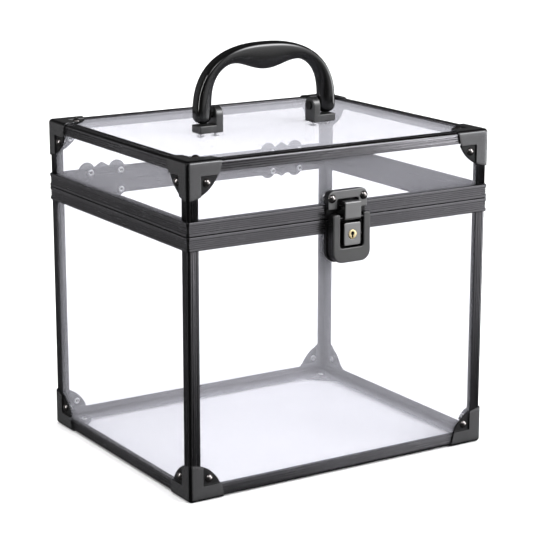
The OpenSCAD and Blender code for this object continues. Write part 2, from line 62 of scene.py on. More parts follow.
# %% [markdown]
# ## Main planes
#
# Everything below hangs on a few planes of the case: its outer faces and the line where lid meets base.
# They are read from the frame's own boxes, so the pieces fit whatever size the CAD model has. Width, depth
# and height are kept in millimetres too, because the profiles further down are typed in millimetres.

# %% Main planes of the case
cap_lo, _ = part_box("base_corner_front_left")
_, cap_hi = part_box("lid_corner_back_right")
X0, Y0, Z0 = cap_lo
X1, Y1, Z1 = cap_hi
SPLIT = joints["lid_hinge"][2]
W, D, H = ((b - a) / MM for a, b in ((X0, X1), (Y0, Y1), (Z0, Z1)))
split = SPLIT / MM
print("case", [round(v, 2) for v in (W, D, H)], "split", round(split, 2))

# %% [markdown]
# ## Camera
#
# A long lens from the front left, a little above the lid, keeps the edges of the box nearly parallel. The
# camera is made first, because everything after it is judged through it.

# %% Camera
SENSOR_MM, FOCAL_WIDTHS = 36.0, 3.499
TILT_DOWN, TURN_RIGHT = 13.74, 31.98
camera_data = bpy.data.cameras.new("camera")
camera_data.sensor_width = SENSOR_MM
camera_data.lens = SENSOR_MM * FOCAL_WIDTHS
camera_data.clip_end = 60.0
camera = bpy.data.objects.new("camera", camera_data)
camera.location = (-0.8549, -1.3718, 0.5500)
camera.rotation_euler = (math.radians(90 - TILT_DOWN), 0, -math.radians(TURN_RIGHT))
bpy.context.scene.collection.objects.link(camera)
bpy.context.scene.camera = camera
print("lens", round(camera_data.lens, 1), "mm")

# %% [markdown]
# ## Writing shader maths as plain expressions
#
# A material is a small program. To read like one, a socket is wrapped in a class whose operators add Math
# nodes: `1 - mask * 0.5` builds the two nodes it names. Colours go through Mix nodes instead.

# %% A socket that does arithmetic
class Value:
    """A number socket of a node tree, with + - * and powers that add Math nodes."""

    def __init__(self, tree, socket):
        self.tree = tree
        self.socket = socket

    def _math(self, operation, first, second=None):
        node = self.tree.nodes.new("ShaderNodeMath")
        node.operation = operation
        for i, item in enumerate((first, second)):
            if item is None:
                continue
            if isinstance(item, Value):
                self.tree.links.new(item.socket, node.inputs[i])
            else:
                node.inputs[i].default_value = item
        return Value(self.tree, node.outputs[0])

    def __add__(self, other):
        return self._math("ADD", self, other)

    def __radd__(self, other):
        return self._math("ADD", other, self)

    def __sub__(self, other):
        return self._math("SUBTRACT", self, other)

    def __rsub__(self, other):
        return self._math("SUBTRACT", other, self)

    def __mul__(self, other):
        return self._math("MULTIPLY", self, other)

    def __rmul__(self, other):
        return self._math("MULTIPLY", other, self)

    def __pow__(self, other):
        return self._math("POWER", self, other)

    def at_least(self, level):
        return self._math("MAXIMUM", self, level)


print("operators ready")

# %% [markdown]
# ## Building node trees
#
# `Nodes` fills any node tree through one method, `node`, which takes a node's type, its settings and its
# sockets. `Finish` is a material's tree, with short names for the nodes that most finishes share.

# %% Node trees and materials
class Nodes:
    """A node tree under construction: node() adds any node, and feed() fills a socket."""

    def __init__(self, tree, output):
        self.tree = tree
        tree.nodes.clear()
        self.output = self.node(output)

    def node(self, kind, settings=(), **sockets):
        """Adds a node; settings are its own choices, set first, and sockets its values or links."""
        node = self.tree.nodes.new("ShaderNode" + kind)
        for key, value in dict(settings).items():
            setattr(node, key, value)
        for key, value in sockets.items():
            self.feed(node.inputs[key.replace("_", " ")], value)
        return node

    def feed(self, socket, value):
        if isinstance(value, Value):
            self.tree.links.new(value.socket, socket)
        elif isinstance(value, bpy.types.NodeSocket):
            self.tree.links.new(value, socket)
        else:
            socket.default_value = value

    def value(self, socket):
        return Value(self.tree, socket)


class Finish(Nodes):
    """A material, with short names for the nodes that most finishes share."""

    def __init__(self, name):
        self.material = bpy.data.materials.new(name)
        self.material.use_nodes = True
        super().__init__(self.material.node_tree, "OutputMaterial")

    def place(self, stretch=(1, 1, 1)):
        """Object coordinates in metres, stretched along each axis."""
        coordinates = self.node("TexCoord").outputs["Object"]
        return self.node("Mapping", Vector=coordinates, Scale=stretch).outputs[0]

    def noise(self, scale, detail=2.0, stretch=(1, 1, 1), roughness=0.5):
        """Soft random spots; scale is how many there are in a metre."""
        made = self.node("TexNoise", Vector=self.place(stretch), Scale=scale, Detail=detail,
                         Roughness=roughness)
        return self.value(made.outputs["Fac"])

    def mix(self, factor, first, second):
        """A colour between first and second."""
        made = self.node("Mix", {"data_type": "RGBA"})
        self.feed(made.inputs["Factor"], factor)
        self.feed(made.inputs[6], first)
        self.feed(made.inputs[7], second)
        return made.outputs[2]

    def bump(self, height, depth_m):
        """A normal from a height field; depth_m is how deep a height of 1 is, in metres."""
        made = self.node("Bump", Height=height, Distance=depth_m, Strength=1.0)
        return made.outputs["Normal"]

    def surface(self, **sockets):
        """Finishes with one Principled shader and returns the material."""
        shader = self.node("BsdfPrincipled", **sockets)
        self.tree.links.new(shader.outputs[0], self.output.inputs["Surface"])
        return self.material


def grey(level, tint=(1.0, 1.0, 1.0)):
    """A linear grey, slightly tinted."""
    return tuple(level * t for t in tint) + (1,)


print("shader helpers ready")

# %% [markdown]
# ## Studio
#
# The box stands on a white floor in a dim room. Black, glossy pieces look black because the room is dim, and
# get their shape from a few soft boxes that they mirror. Each soft box is a smooth spot of light in the
# world, so it has no edge that could show. Only the strip lamp on the left has edges, for one crisp gleam.
# A broad sun from above keeps the floor white. Neither the sun nor the floor is mirrored, and the camera
# sees plain white past the floor's edge.

# %% Helpers for light
def add_lamp(name, place, target, size, watts):
    """A rectangular lamp at place that faces target."""
    data = bpy.data.lights.new(name, "AREA")
    data.shape = "RECTANGLE"
    data.size, data.size_y = size
    data.energy = watts
    lamp = bpy.data.objects.new(name, data)
    lamp.location = place
    lamp.rotation_mode = "QUATERNION"
    lamp.rotation_quaternion = (Vector(target) - Vector(place)).to_track_quat("-Z", "Y")
    bpy.context.scene.collection.objects.link(lamp)
    return lamp


def lobe(room, direction, tight):
    """Brightness that falls off round a direction: (cosine of the angle to it, or 0)^tight."""
    looking = room.node("TexCoord").outputs["Generated"]
    dot = room.node("VectorMath", {"operation": "DOT_PRODUCT"}, Vector=looking)
    room.feed(dot.inputs[1], Vector(direction).normalized())
    return room.value(dot.outputs["Value"]).at_least(0.0) ** tight


print("light helpers ready")

# %% World
ROOM_LEVEL, BACKDROP_LEVEL = 0.05, 1.1
SOFT_BOXES = [                               # direction, tightness, brightness
    ((0.60, -0.78, 0.20), 14.0, 2.0),        # broad, front right: all front faces
    ((-0.62, 0.76, 0.05), 9.0, 0.30),        # broad and dim, back left: the left faces
    ((0.52, -0.82, -0.24), 24.0, 0.35),      # low front right: what upright front faces mirror
    ((0.87, -0.49, -0.03), 60.0, 14.0),      # small, right: upright gleams on legs and rivets
    ((0.52, -0.64, 0.58), 40.0, 18.0),       # small, high front right: the line along the handle
    ((-0.32, -0.61, 0.73), 60.0, 8.0),       # small, above the camera: rounded tops
]
world = bpy.data.worlds.new("studio_room")
world.use_nodes = True
room = Nodes(world.node_tree, "OutputWorld")
light = ROOM_LEVEL
for direction, tight, brightness in SOFT_BOXES:
    light = lobe(room, direction, tight) * brightness + light
mirrored_room = room.node("Background", Color=(0.985, 0.985, 1.0, 1), Strength=light)
backdrop = room.node("Background", Color=(1.0, 1.0, 1.0, 1), Strength=BACKDROP_LEVEL)
seen = room.node("MixShader", Fac=room.node("LightPath").outputs["Is Camera Ray"])
room.feed(seen.inputs[1], mirrored_room.outputs[0])
room.feed(seen.inputs[2], backdrop.outputs[0])
room.feed(room.output.inputs["Surface"], seen.outputs[0])
bpy.context.scene.world = world
bpy.context.scene.view_settings.view_transform = "Standard"
print("soft boxes", len(SOFT_BOXES))

# %% Lamps and floor
SUN_WATTS, SUN_SPREAD, FLOOR_HALF = 3.2, 70, 12.0
add_lamp("strip", (-1.3, -0.1, 0.75), (0.0, 0.0, 0.28), (0.16, 1.2), 12)
sun_data = bpy.data.lights.new("overhead", "SUN")
sun_data.energy = SUN_WATTS
sun_data.angle = math.radians(SUN_SPREAD)
sun = bpy.data.objects.new("overhead", sun_data)
sun.visible_glossy = False
sun.rotation_euler = (math.radians(-8), math.radians(10), 0)
bpy.context.scene.collection.objects.link(sun)

floor_mesh = bpy.data.meshes.new("floor")
corners = np.array([(-1, -1), (1, -1), (1, 1), (-1, 1)]) * FLOOR_HALF
floor_mesh.from_pydata(np.c_[corners, np.zeros(4)].tolist(), [], [(0, 1, 2, 3)])
floor = bpy.data.objects.new("floor", floor_mesh)
bpy.context.scene.collection.objects.link(floor)
floor.visible_glossy = False
print("lamps", len(bpy.data.lights))

# %% [markdown]
# ## Clear acrylic
#
# A clear sheet shows what is behind it under a thin pale veil, and the veil grows the flatter the sheet is
# looked along. So the lid, seen at a grazing angle, looks almost white, and the front stays clear. The
# material mixes a transparent shader with a glossy pale one, and the share follows the viewing angle. The
# veil is partly painted reflection: its gloss mirrors the room, and its pale colour stands in for the rest
# of what the sheet reflects.

# %% Acrylic
VEIL_LEAST, VEIL_GAIN, VEIL_POWER = 0.12, 0.9, 6.0


def acrylic():
    """Share of the veil on each face = least + gain x (1 - cosine of the viewing angle)^power."""
    f = Finish("clear_acrylic")
    slant = f.value(f.node("LayerWeight", Blend=0.5).outputs["Facing"])
    clear = f.node("BsdfTransparent", Color=(0.992, 0.992, 0.998, 1))
    # The veil's gloss is real reflection; its pale base colour is painted reflection.
    veil = f.node("BsdfPrincipled", Base_Color=(0.60, 0.60, 0.65, 1), Roughness=0.05, IOR=1.35)
    both = f.node("MixShader", Fac=slant ** VEIL_POWER * VEIL_GAIN + VEIL_LEAST)
    f.feed(both.inputs[1], clear.outputs[0])
    f.feed(both.inputs[2], veil.outputs[0])
    f.feed(f.output.inputs["Surface"], both.outputs[0])
    return f.material


ACRYLIC = acrylic()
print("made", ACRYLIC.name)

# %% [markdown]
# ## Black anodised rails
#
# The rails are drawn aluminium, dyed black. Drawing leaves faint lines along the bar, which show as streaks
# in its satin gleam, and the dye is a little uneven. The streaks are noise that is stretched hard along the
# bar, so bars along X, Y and Z each get their own version. The upright posts get a darker tone: painted
# shade, as upright bars catch less of the light from above than level ones.

# %% Anodised aluminium, one finish for each direction
def anodised(axis):
    """Long streaks: noise squeezed 60 times more finely across the bar than along it."""
    f = Finish("anodised_" + "xyz"[axis])
    stretch = [1.0, 1.0, 1.0]
    stretch[axis] = 1 / 60
    streaks = f.noise(1800, 2.0, stretch)
    patches = f.noise(22, 2.0)
    # The upright posts (axis 2) get a darker tone: painted shade.
    low, high = (0.055, 0.080) if axis == 2 else (0.110, 0.150)
    tone = f.mix(patches, grey(low, (1, 0.98, 1.04)), grey(high, (1, 0.98, 1.04)))
    return f.surface(Base_Color=tone, Metallic=0.92, Roughness=streaks * 0.08 + 0.22,
                     Specular_IOR_Level=0.3, Normal=f.bump(streaks * 0.6, 0.00003))


ANODISED = [anodised(axis) for axis in range(3)]
print("made", [m.name for m in ANODISED])

# %% [markdown]
# ## Painted steel, satin fittings, rivets, pins
#
# The corner caps are pressed steel with a thin satin black paint, which has a faint orange peel. The latch
# and hinges are plated and blasted: a fine even grain, lighter than paint. Rivets are smooth black nickel
# outside and bare bright metal where their tails are rolled inside the box. All of them are one of three
# recipes with different depths of colour and gloss. The strike plate, hasp, lever and block are one
# blasted metal in lit and shaded copies: the lever's darker tone is painted shade, the block's lighter tone
# painted light. Sunk ears, rounded edges, the latch's sides and the keyhole get painted shade.

# %% Three recipes for metal
def painted_steel(name, low, high, roughness):
    """Orange peel about a millimetre across, under fine dust of paler specks."""
    f = Finish(name)
    peel = f.noise(1100, 2.0)
    grain = f.noise(6000, 2.0)
    patches = f.noise(35, 3.0)
    tone = f.mix(patches, grey(low, (1, 1, 1.02)), grey(high, (1, 1, 1.02)))
    return f.surface(Base_Color=tone, Metallic=0.88, Roughness=grain * 0.10 + roughness,
                     Specular_IOR_Level=0.35, Normal=f.bump(peel * 0.7 + grain * 0.3, 0.00004))


def blasted_metal(name, low, high, roughness):
    """Blasted plating: bright and dull grains about a quarter of a millimetre across."""
    f = Finish(name)
    grain = f.noise(4200, 3.0, roughness=0.7)
    patches = f.noise(60, 2.0)
    tone = f.mix(patches * 0.5 + grain * 0.5, grey(low), grey(high))
    return f.surface(Base_Color=tone, Metallic=0.85, Roughness=grain * 0.18 + roughness,
                     Normal=f.bump(grain, 0.00004))


def smooth_metal(name, colour, roughness, metallic=1.0):
    """Polished or turned metal with faint smears in its gloss."""
    f = Finish(name)
    smears = f.noise(300, 3.0)
    tone = f.mix(smears, tuple(c * 0.85 for c in colour) + (1,), tuple(colour) + (1,))
    return f.surface(Base_Color=tone, Metallic=metallic, Roughness=smears * 0.14 + roughness,
                     Normal=f.bump(f.noise(1500, 2.0), 0.000015))


print("recipes ready")

# %% The metals of this box
CAP_PAINT = painted_steel("cap_paint", 0.090, 0.135, 0.18)
# Sunk ears: the cap paint made darker, a painted shade.
CAP_SHADE = painted_steel("cap_recess_painted_shade", 0.020, 0.035, 0.26)
# Near-black painted shade for rounded edges.
EDGE_SHADE = painted_steel("edge_painted_shade", 0.008, 0.014, 0.20)
# The latch base plate's own dark paint, also used as painted shade on the latch parts' sides and pocket.
PLATE_PAINT_AND_SIDE_SHADE = painted_steel("plate_paint_and_side_shade", 0.020, 0.030, 0.30)
# Strike, hasp, lever and block are one blasted metal in lit and shaded copies: painted light and shade.
STRIKE_METAL = blasted_metal("strike_metal", 0.124, 0.186, 0.32)
HASP_METAL = blasted_metal("hasp_metal", 0.138, 0.200, 0.32)
LEVER_METAL_SHADED = blasted_metal("lever_metal_painted_shade", 0.068, 0.098, 0.34)
BLOCK_METAL_LIT = blasted_metal("block_metal_painted_light", 0.174, 0.260, 0.32)
LEAF_METAL = blasted_metal("leaf_metal", 0.100, 0.160, 0.32)
BRACKET_METAL = blasted_metal("bracket_metal", 0.045, 0.108, 0.26)
RIVET_NICKEL = smooth_metal("rivet_nickel", (0.22, 0.205, 0.20), 0.16)
DARK_STEEL = smooth_metal("dark_steel", (0.035, 0.035, 0.035), 0.3)
BARE_STEEL = smooth_metal("bare_steel", (0.66, 0.66, 0.67), 0.22)
BRASS = smooth_metal("brass", (0.86, 0.72, 0.42), 0.22)
# Painted shade for the inside of the keyhole.
KEYHOLE_SHADE = smooth_metal("keyhole_painted_shade", (0.01, 0.01, 0.01), 0.6, 0.0)
print("metals", len([m for m in bpy.data.materials if m.name != ACRYLIC.name]))

# %% [markdown]
# ## Moulded plastic
#
# The handle is polished black plastic from a mould. Its gloss is almost perfect; only a very shallow
# waviness keeps the long reflections from looking computed.

# %% Handle plastic
def moulded_plastic():
    """Gloss with waves about 8 mm long and very fine marks from the mould."""
    f = Finish("moulded_plastic")
    waves = f.noise(130, 1.0)
    marks = f.noise(2500, 2.0)
    tone = f.mix(waves, grey(0.0015), grey(0.004))
    return f.surface(Base_Color=tone, Roughness=marks * 0.04 + 0.06,
                     Specular_IOR_Level=0.5, Normal=f.bump(waves + marks * 0.05, 0.00004))


PLASTIC = moulded_plastic()
print("made", PLASTIC.name)

# %% [markdown]
# ## Pale floor
#
# The floor is matt and almost white, with a hardly visible mottle, so it shows only the box's soft shadow.

# %% Floor finish
def floor_white():
    """Matt white with spots about a third of a metre across."""
    f = Finish("floor_white")
    mottle = f.noise(3, 2.0)
    return f.surface(Base_Color=f.mix(mottle, grey(0.93), grey(0.95)), Roughness=0.9)


floor_mesh.materials.append(floor_white())
print("floor finish", floor_mesh.materials[0].name)

# %% [markdown]
# ## Mesh helpers
#
# Every surface here is a grid of points worked out at once. `grid_faces` joins the points with quads,
# `lathe` turns a profile round an axis, `joined` puts several surfaces into one, and `new_piece` makes the
# object, merges doubled points and turns the faces outwards.

# %% Points to objects
def grid_faces(rows, columns, wrap=False):
    """Quads between neighbours on a rows x columns grid; wrap joins the last column to the first."""
    r, c = np.meshgrid(np.arange(rows - 1), np.arange(columns if wrap else columns - 1), indexing="ij")
    nxt = (c + 1) % columns
    return np.stack([r * columns + c, r * columns + nxt, (r + 1) * columns + nxt, (r + 1) * columns + c],
                    -1).reshape(-1, 4)


def tube_faces(rows, around):
    """Faces over rows of points that run round a shape, with one face to close each end."""
    ends = [list(range(around))[::-1], list(range((rows - 1) * around, rows * around))]
    return grid_faces(rows, around, wrap=True).tolist() + ends


def new_piece(name, points, faces, material, merge=1e-7):
    """An object from points in metres; doubles are merged and faces turned outwards."""
    mesh = bpy.data.meshes.new(name)
    mesh.from_pydata(np.asarray(points).tolist(), [], [list(map(int, f)) for f in faces])
    shape = bmesh.new()
    shape.from_mesh(mesh)
    bmesh.ops.remove_doubles(shape, verts=shape.verts, dist=merge)
    bmesh.ops.dissolve_degenerate(shape, edges=shape.edges, dist=merge)
    bmesh.ops.recalc_face_normals(shape, faces=shape.faces)
    shape.to_mesh(mesh)
    shape.free()
    mesh.shade_smooth()
    piece = bpy.data.objects.new(name, mesh)
    bpy.context.scene.collection.objects.link(piece)
    for m in material if isinstance(material, (list, tuple)) else [material]:
        mesh.materials.append(m)
    return piece


def soften_flat(piece):
    """Shades a piece smoothly across its rounds, but keeps its wide flat faces flat in the light."""
    weigh = piece.modifiers.new("flat_faces", "WEIGHTED_NORMAL")
    weigh.weight = 80
    return piece


def lathe(profile, segments=40):
    """Turns a profile (N x 2: radius, height) round the height axis."""
    turn = np.linspace(0, 2 * np.pi, segments, endpoint=False)
    r, h = np.asarray(profile, float).T
    points = np.stack([np.outer(r, np.cos(turn)), np.outer(r, np.sin(turn)),
                       np.repeat(h[:, None], segments, 1)], -1)
    return points.reshape(-1, 3), grid_faces(len(r), segments, wrap=True)


def joined(parts):
    """Puts several (points, faces) pairs into one."""
    points, faces, start = [], [], 0
    for p, f in parts:
        points.append(p)
        faces += [[int(i) + start for i in face] for face in f]
        start += len(p)
    return np.concatenate(points), faces


def arc(centre, radius, start, end, steps):
    """Points on a circle between two angles in degrees."""
    t = np.radians(np.linspace(start, end, steps))
    return np.c_[centre[0] + radius * np.cos(t), centre[1] + radius * np.sin(t)]


print("surface helpers ready")

# %% [markdown]
# ## Where an outline lies
#
# Outlines are drawn flat, in millimetres, and then mapped onto the front, the back, or a plane across the
# front. So a latch plate is drawn as it would be on paper.

# %% Maps from paper to space
def front(p):
    """Maps (along, up, out) of the front face to space, in millimetres."""
    return np.c_[p[:, 0], Y0 / MM - p[:, 2], p[:, 1]]


def back(p):
    """Maps (along, up, out) of the back face to space, in millimetres."""
    return np.c_[p[:, 0], Y1 / MM + p[:, 2], p[:, 1]]


def across(p):
    """Maps (out, up, across) of the front face to space, in millimetres."""
    return np.c_[p[:, 2], Y0 / MM - p[:, 0], p[:, 1]]


print("maps ready")

# %% [markdown]
# ## Edges, and what a piece stands for
#
# Rounded edges of black metal mirror nothing but the dim room and read as black lines round lighter faces.
# They are found by their normals, because they look along no axis, and get a near-black paint: painted shade.
#
# `stand_in` is the last step for every new piece: it says which body it rides on and which CAD nodes it
# stands for, and hides those nodes.

# %% Edges and stand-ins
COS_20 = 0.94


def per_face(piece, what):
    """One vector for each face: its "center" in metres or its "normal"."""
    values = np.zeros(len(piece.data.polygons) * 3)
    piece.data.polygons.foreach_get(what, values)
    return values.reshape(-1, 3)


def paint_second(piece, chosen):
    """Gives the chosen faces the piece's second material, and all others its first."""
    piece.data.polygons.foreach_set("material_index", chosen.astype(np.int32))
    return piece


def paint_edge_shade(piece):
    """Paints the rounded edges, whose faces look along no axis within 20 degrees, near-black: painted shade.
    """
    index = np.zeros(len(piece.data.polygons), np.int32)
    piece.data.polygons.foreach_get("material_index", index)
    index[abs(per_face(piece, "normal")).max(1) < COS_20] = len(piece.data.materials)
    piece.data.materials.append(EDGE_SHADE)
    piece.data.polygons.foreach_set("material_index", index)
    return piece


def stand_in(piece, body, slot, *replaced):
    """Lets a piece ride on a body and stand for CAD nodes, which it hides. The slot is not used."""
    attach(piece, body)
    if replaced:
        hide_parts(*replaced)
    return piece


print("edges and stand-ins ready")

# %% [markdown]
# ## Outlines and rounded plates
#
# Sheet and cast parts are outlines with thickness, and no real edge is perfectly sharp: a small round on
# every edge catches a thin line of light. `rounded` fillets the corners of an outline, and `plate` gives an
# outline its thickness with a quarter round on both faces.

# %% Outlines
def rounded(corners, steps=6):
    """Closed outline with a fillet at each corner (x, y, radius).

    The arc's centre lies on the corner's bisector, at radius / sin(half the corner angle), and the arc turns
    from one side's touching point to the other's.
    """
    c = np.array(corners, float)
    p, r = c[:, :2], c[:, 2:]
    a, b = np.roll(p, 1, 0) - p, np.roll(p, -1, 0) - p
    a, b = (v / np.linalg.norm(v, axis=1, keepdims=True) for v in (a, b))
    half = np.arccos(np.clip((a * b).sum(1, keepdims=True), -1, 1)) / 2
    middle = (a + b) / np.linalg.norm(a + b, axis=1, keepdims=True)
    centre = p + middle * r / np.sin(half)
    start, end = (p + v * r / np.tan(half) - centre for v in (a, b))
    sweep = (np.pi - 2 * half)[:, None]
    t = np.linspace(0, 1, steps)[None, :, None]
    points = (centre[:, None] + start[:, None] * np.sin((1 - t) * sweep) / np.sin(sweep)
              + end[:, None] * np.sin(t * sweep) / np.sin(sweep)).reshape(-1, 2)
    points = points[np.linalg.norm(points - np.roll(points, 1, 0), axis=1) > 1e-4]
    area = (points[:, 0] * np.roll(points[:, 1], -1) - points[:, 1] * np.roll(points[:, 0], -1)).sum()
    return points if area > 0 else points[::-1]


def mirrored(half):
    """A closed list of corners from its right half, listed from bottom to top, and its mirror image."""
    return list(half) + [(-x, y, r) for x, y, r in half[::-1]]


def shrink(outline, by):
    """Moves each point inwards along the mitre of its two sides, so that every side moves by `by`."""
    side = np.roll(outline, -1, 0) - outline
    normal = np.c_[-side[:, 1], side[:, 0]] / np.linalg.norm(side, axis=1, keepdims=True)
    before = np.roll(normal, 1, 0)
    return outline + (normal + before) / (1 + (normal * before).sum(1, keepdims=True)) * by


print("corners of a test outline", len(rounded([(0, 0, 1), (9, 0, 1), (9, 5, 2), (0, 5, 2)])))


# %% Plates and bars
def plate(outline, low, high, edge, to_space, steps=4):
    """An outline from depth low to high; each face is inset by edge x (1 - sin) at depth edge x (1 - cos)."""
    t = np.radians(np.linspace(0, 90, steps))
    inset, sunk = edge * (1 - np.sin(t)), edge * (1 - np.cos(t))
    inset = np.r_[inset, inset[::-1]]
    depth = np.r_[low + sunk, (high - sunk)[::-1]]
    rows = np.stack([np.c_[shrink(outline, i), np.full(len(outline), d)] for i, d in zip(inset, depth)])
    return to_space(rows.reshape(-1, 3)) * MM, tube_faces(len(rows), len(outline))


def bar(outline, low, high, to_space):
    """An outline carried straight from low to high, with plain ends."""
    points = np.concatenate([np.c_[outline, np.full(len(outline), d)] for d in (low, high)])
    return to_space(points) * MM, tube_faces(2, len(outline))


print("plates and bars ready")

# %% [markdown]
# ## Edge rails and corner posts
#
# The rails are one extrusion: an L with a slot in each leg for a sheet, a round bead on its outer corner and
# fine grooves on both outer faces. Only one leg's outline is typed in; the other is its mirror image across
# the diagonal.

# %% Rail profile
RAIL_BACK, RAIL_FACE, RAIL_TIP, SLOT, SLOT_END = 7.0, 1.2, 11.2, (2.55, 5.65), 6.4


def groove(middle, width, depth, face):
    """Corners of a groove in a face, listed from the leg's tip towards its root."""
    a, b = middle + width / 2, middle - width / 2
    return [(a, face, 0.12), (a, face + depth, 0.08), (b, face + depth, 0.08), (b, face, 0.12)]


leg = [(RAIL_TIP, SLOT[0], 0.15), (RAIL_TIP, RAIL_FACE, 0.4)]
for middle, width, depth in ((8.7, 0.7, 0.55), (6.7, 0.5, 0.35), (4.75, 0.7, 0.65)):
    leg += groove(middle, width, depth, RAIL_FACE)
slots = [(SLOT[0], SLOT_END, 0.1), (SLOT[1], SLOT_END, 0.1), (SLOT[1], RAIL_TIP, 0.15),
         (RAIL_BACK, RAIL_TIP, 0.3)]
RAIL = rounded(leg + [(RAIL_FACE, RAIL_FACE, 2.6)] + [(y, x, r) for x, y, r in leg[::-1]] + slots
               + [(RAIL_BACK, RAIL_BACK, 0.4)] + [(y, x, r) for x, y, r in slots[::-1]], steps=5)
print("rail profile points", len(RAIL))


# %% The eight rails
def side_space(side, from_top):
    """Maps (in from the side plane, in from the floor or lid plane, along) to space for one side."""
    def to_space(p):
        inwards, up = p[:, 0], (H - p[:, 1] if from_top else p[:, 1])
        if side in ("front", "back"):
            y = inwards - D / 2 if side == "front" else D / 2 - inwards
            return np.c_[p[:, 2], y, up]
        x = inwards - W / 2 if side == "left" else W / 2 - inwards
        return np.c_[x, p[:, 2], up]
    return to_space


def side_half(side):
    """Half the length of the case along one side, in millimetres."""
    return (W if side in ("front", "back") else D) / 2


def drawn_finish(side):
    """The anodised finish whose streaks run along this side."""
    return ANODISED[0 if side in ("front", "back") else 1]


SIDE_NAMES = ("front", "right", "back", "left")
for body, prefix, from_top in (("base", "floor", False), ("lid", "lid", True)):
    for side in SIDE_NAMES:
        half = side_half(side) - RAIL_TIP
        rail = new_piece(f"{prefix}_rail_{side}_drawn", *bar(RAIL, -half, half, side_space(side, from_top)),
                         drawn_finish(side))
        # Rounded edges get near-black painted shade.
        stand_in(paint_edge_shade(soften_flat(rail)), body, "edge_rail", f"{prefix}_rail_{side}")
print("last rail", round(2 * half, 1), "mm long")

# %% [markdown]
# ## Corner posts
#
# The posts are the rail profile stood upright: four tall ones in the base and four short ones in the lid.
# Each set is one piece, because its posts are identical and never part.

# %% Posts
def corner_space(sx, sy):
    """Maps (in from the X plane, in from the Y plane, up) to space at one upright corner."""
    return lambda p: np.c_[sx * (W / 2 - p[:, 0]), sy * (D / 2 - p[:, 1]), p[:, 2]]


CORNERS = [(-1, -1), (1, -1), (1, 1), (-1, 1)]
for body, node in (("base", "base_posts"), ("lid", "lid_posts")):
    low, high = (c[2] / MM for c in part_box(node))
    posts = new_piece(node + "_drawn", *joined([bar(RAIL, low, high, corner_space(*c)) for c in CORNERS]),
                      ANODISED[2])
    # Rounded edges get near-black painted shade.
    stand_in(paint_edge_shade(soften_flat(posts)), body, "edge_rail", node)
print("posts from", round(low, 1), "to", round(high, 1))

# %% [markdown]
# ## Rims at the joint line
#
# Where lid and base meet, a deeper bar runs round the box: a bright band at each edge, a sunk ribbed strip
# between them, and a slot for the sheet. Each bar is its profile carried along one side. At both ends the
# path turns through half a corner, so the four bars meet on a mitre and the outside of the frame is round.

# %% Rim profiles
RIM_DEPTH, RIM_H, RIM_ROUND, RIM_DIP, RIM_SEAT = 8.0, 11.8, 2.5, 0.55, 12.0
half_rim = [(SLOT[1], 0, 0.15), (SLOT[1], 6.8, 0.1), (SLOT[0], 6.8, 0.1), (SLOT[0], 0, 0.15), (0, 0, 0.7),
            (0, 2.5, 0.3), (RIM_DIP, 2.8, 0.15)]
ribs = [(x, y + k, 0.06) for k in (4.3, 5.9, 7.5) for x, y in ((RIM_DIP, -0.35), (1.15, -0.2), (1.15, 0.2),
                                                                (RIM_DIP, 0.35))]
rim_face = half_rim + ribs + [(RIM_DIP, 9.0, 0.15), (0, 9.3, 0.3), (0, RIM_H, 0.55)]
tongue = [(3.0, RIM_H, 0.1), (3.0, RIM_H + 2.0, 0.25), (4.2, RIM_H + 2.0, 0.25), (4.2, RIM_H, 0.1)]
channel = [(2.5, RIM_H, 0.1), (2.5, RIM_H - 2.4, 0.1), (4.7, RIM_H - 2.4, 0.1), (4.7, RIM_H, 0.1)]
back_edge = [(RIM_DEPTH, RIM_H, 0.3), (RIM_DEPTH, 0, 0.3)]
RIMS = {"base": rounded(rim_face + tongue + back_edge, 5), "lid": rounded(rim_face + channel + back_edge, 5)}
print("rim profile points", {k: len(v) for k, v in RIMS.items()})


# %% Rim bars
def rim_bar(profile, side, low, flip):
    """Profile (depth d, height h) along a side, turning through half a corner at each end.

    A point of depth d runs on a circle of radius max(round - d, 0) about the corner's own centre, from the
    side's direction to the 45 degree line; a point deeper than the round ends on that line at once.
    """
    d, h = profile.T
    turn = np.radians(np.linspace(0, 45, 6))[:, None]
    radius = np.maximum(RIM_ROUND - d, 0)[None]
    beyond = np.maximum(d, RIM_ROUND)[None]
    along = beyond - radius * np.sin(turn)
    depth = beyond - radius * np.cos(turn)
    depth = np.where(d[None] < RIM_ROUND, depth, d[None])
    half = side_half(side)
    along = np.concatenate([(-half + along)[::-1], half - along])
    depth = np.concatenate([depth[::-1], depth])
    up = np.broadcast_to((low - h if flip else low + h)[None], along.shape)
    flat = np.stack([depth, up, along], -1).reshape(-1, 3)
    return side_space(side, False)(flat) * MM, tube_faces(len(along), len(d))


for body, flip in (("base", False), ("lid", True)):
    for side in SIDE_NAMES:
        low = split + (RIM_SEAT if flip else -RIM_SEAT)
        piece = new_piece(f"{body}_rim_{side}_drawn", *rim_bar(RIMS[body], side, low, flip),
                          drawn_finish(side))
        # Rounded edges get near-black painted shade.
        stand_in(paint_edge_shade(soften_flat(piece)), body, "edge_rail", f"{body}_rim_{side}")
print("rim bars from", round(split - RIM_SEAT, 1), "to", round(split + RIM_SEAT, 1))

# %% [markdown]
# ## Corner caps
#
# A cap is pressed from one sheet: three quarter discs that meet in a rounded corner, each with a raised band
# along its two straight edges and a sunk ear for the rivet. The sheet is one function: take a point on the
# three outer planes, pull it towards the centre of the corner's rounding, and sink it where the ear is. The
# same function, one sheet thickness deeper, makes the inside, and a narrow strip joins the two. The sunk
# ears are painted darker, as they gather less light than the raised bands.

# %% The pressed sheet
CAP_REACH, CAP_BAND, CAP_ROUND, CAP_SHEET, EAR_SUNK, CAP_EDGE = 32.5, 13.0, 3.5, 1.2, 1.4, 0.4
CORE = 14.2                                  # side of the square grid that holds the ear's step
PRESS = 0.6                                  # width of that step


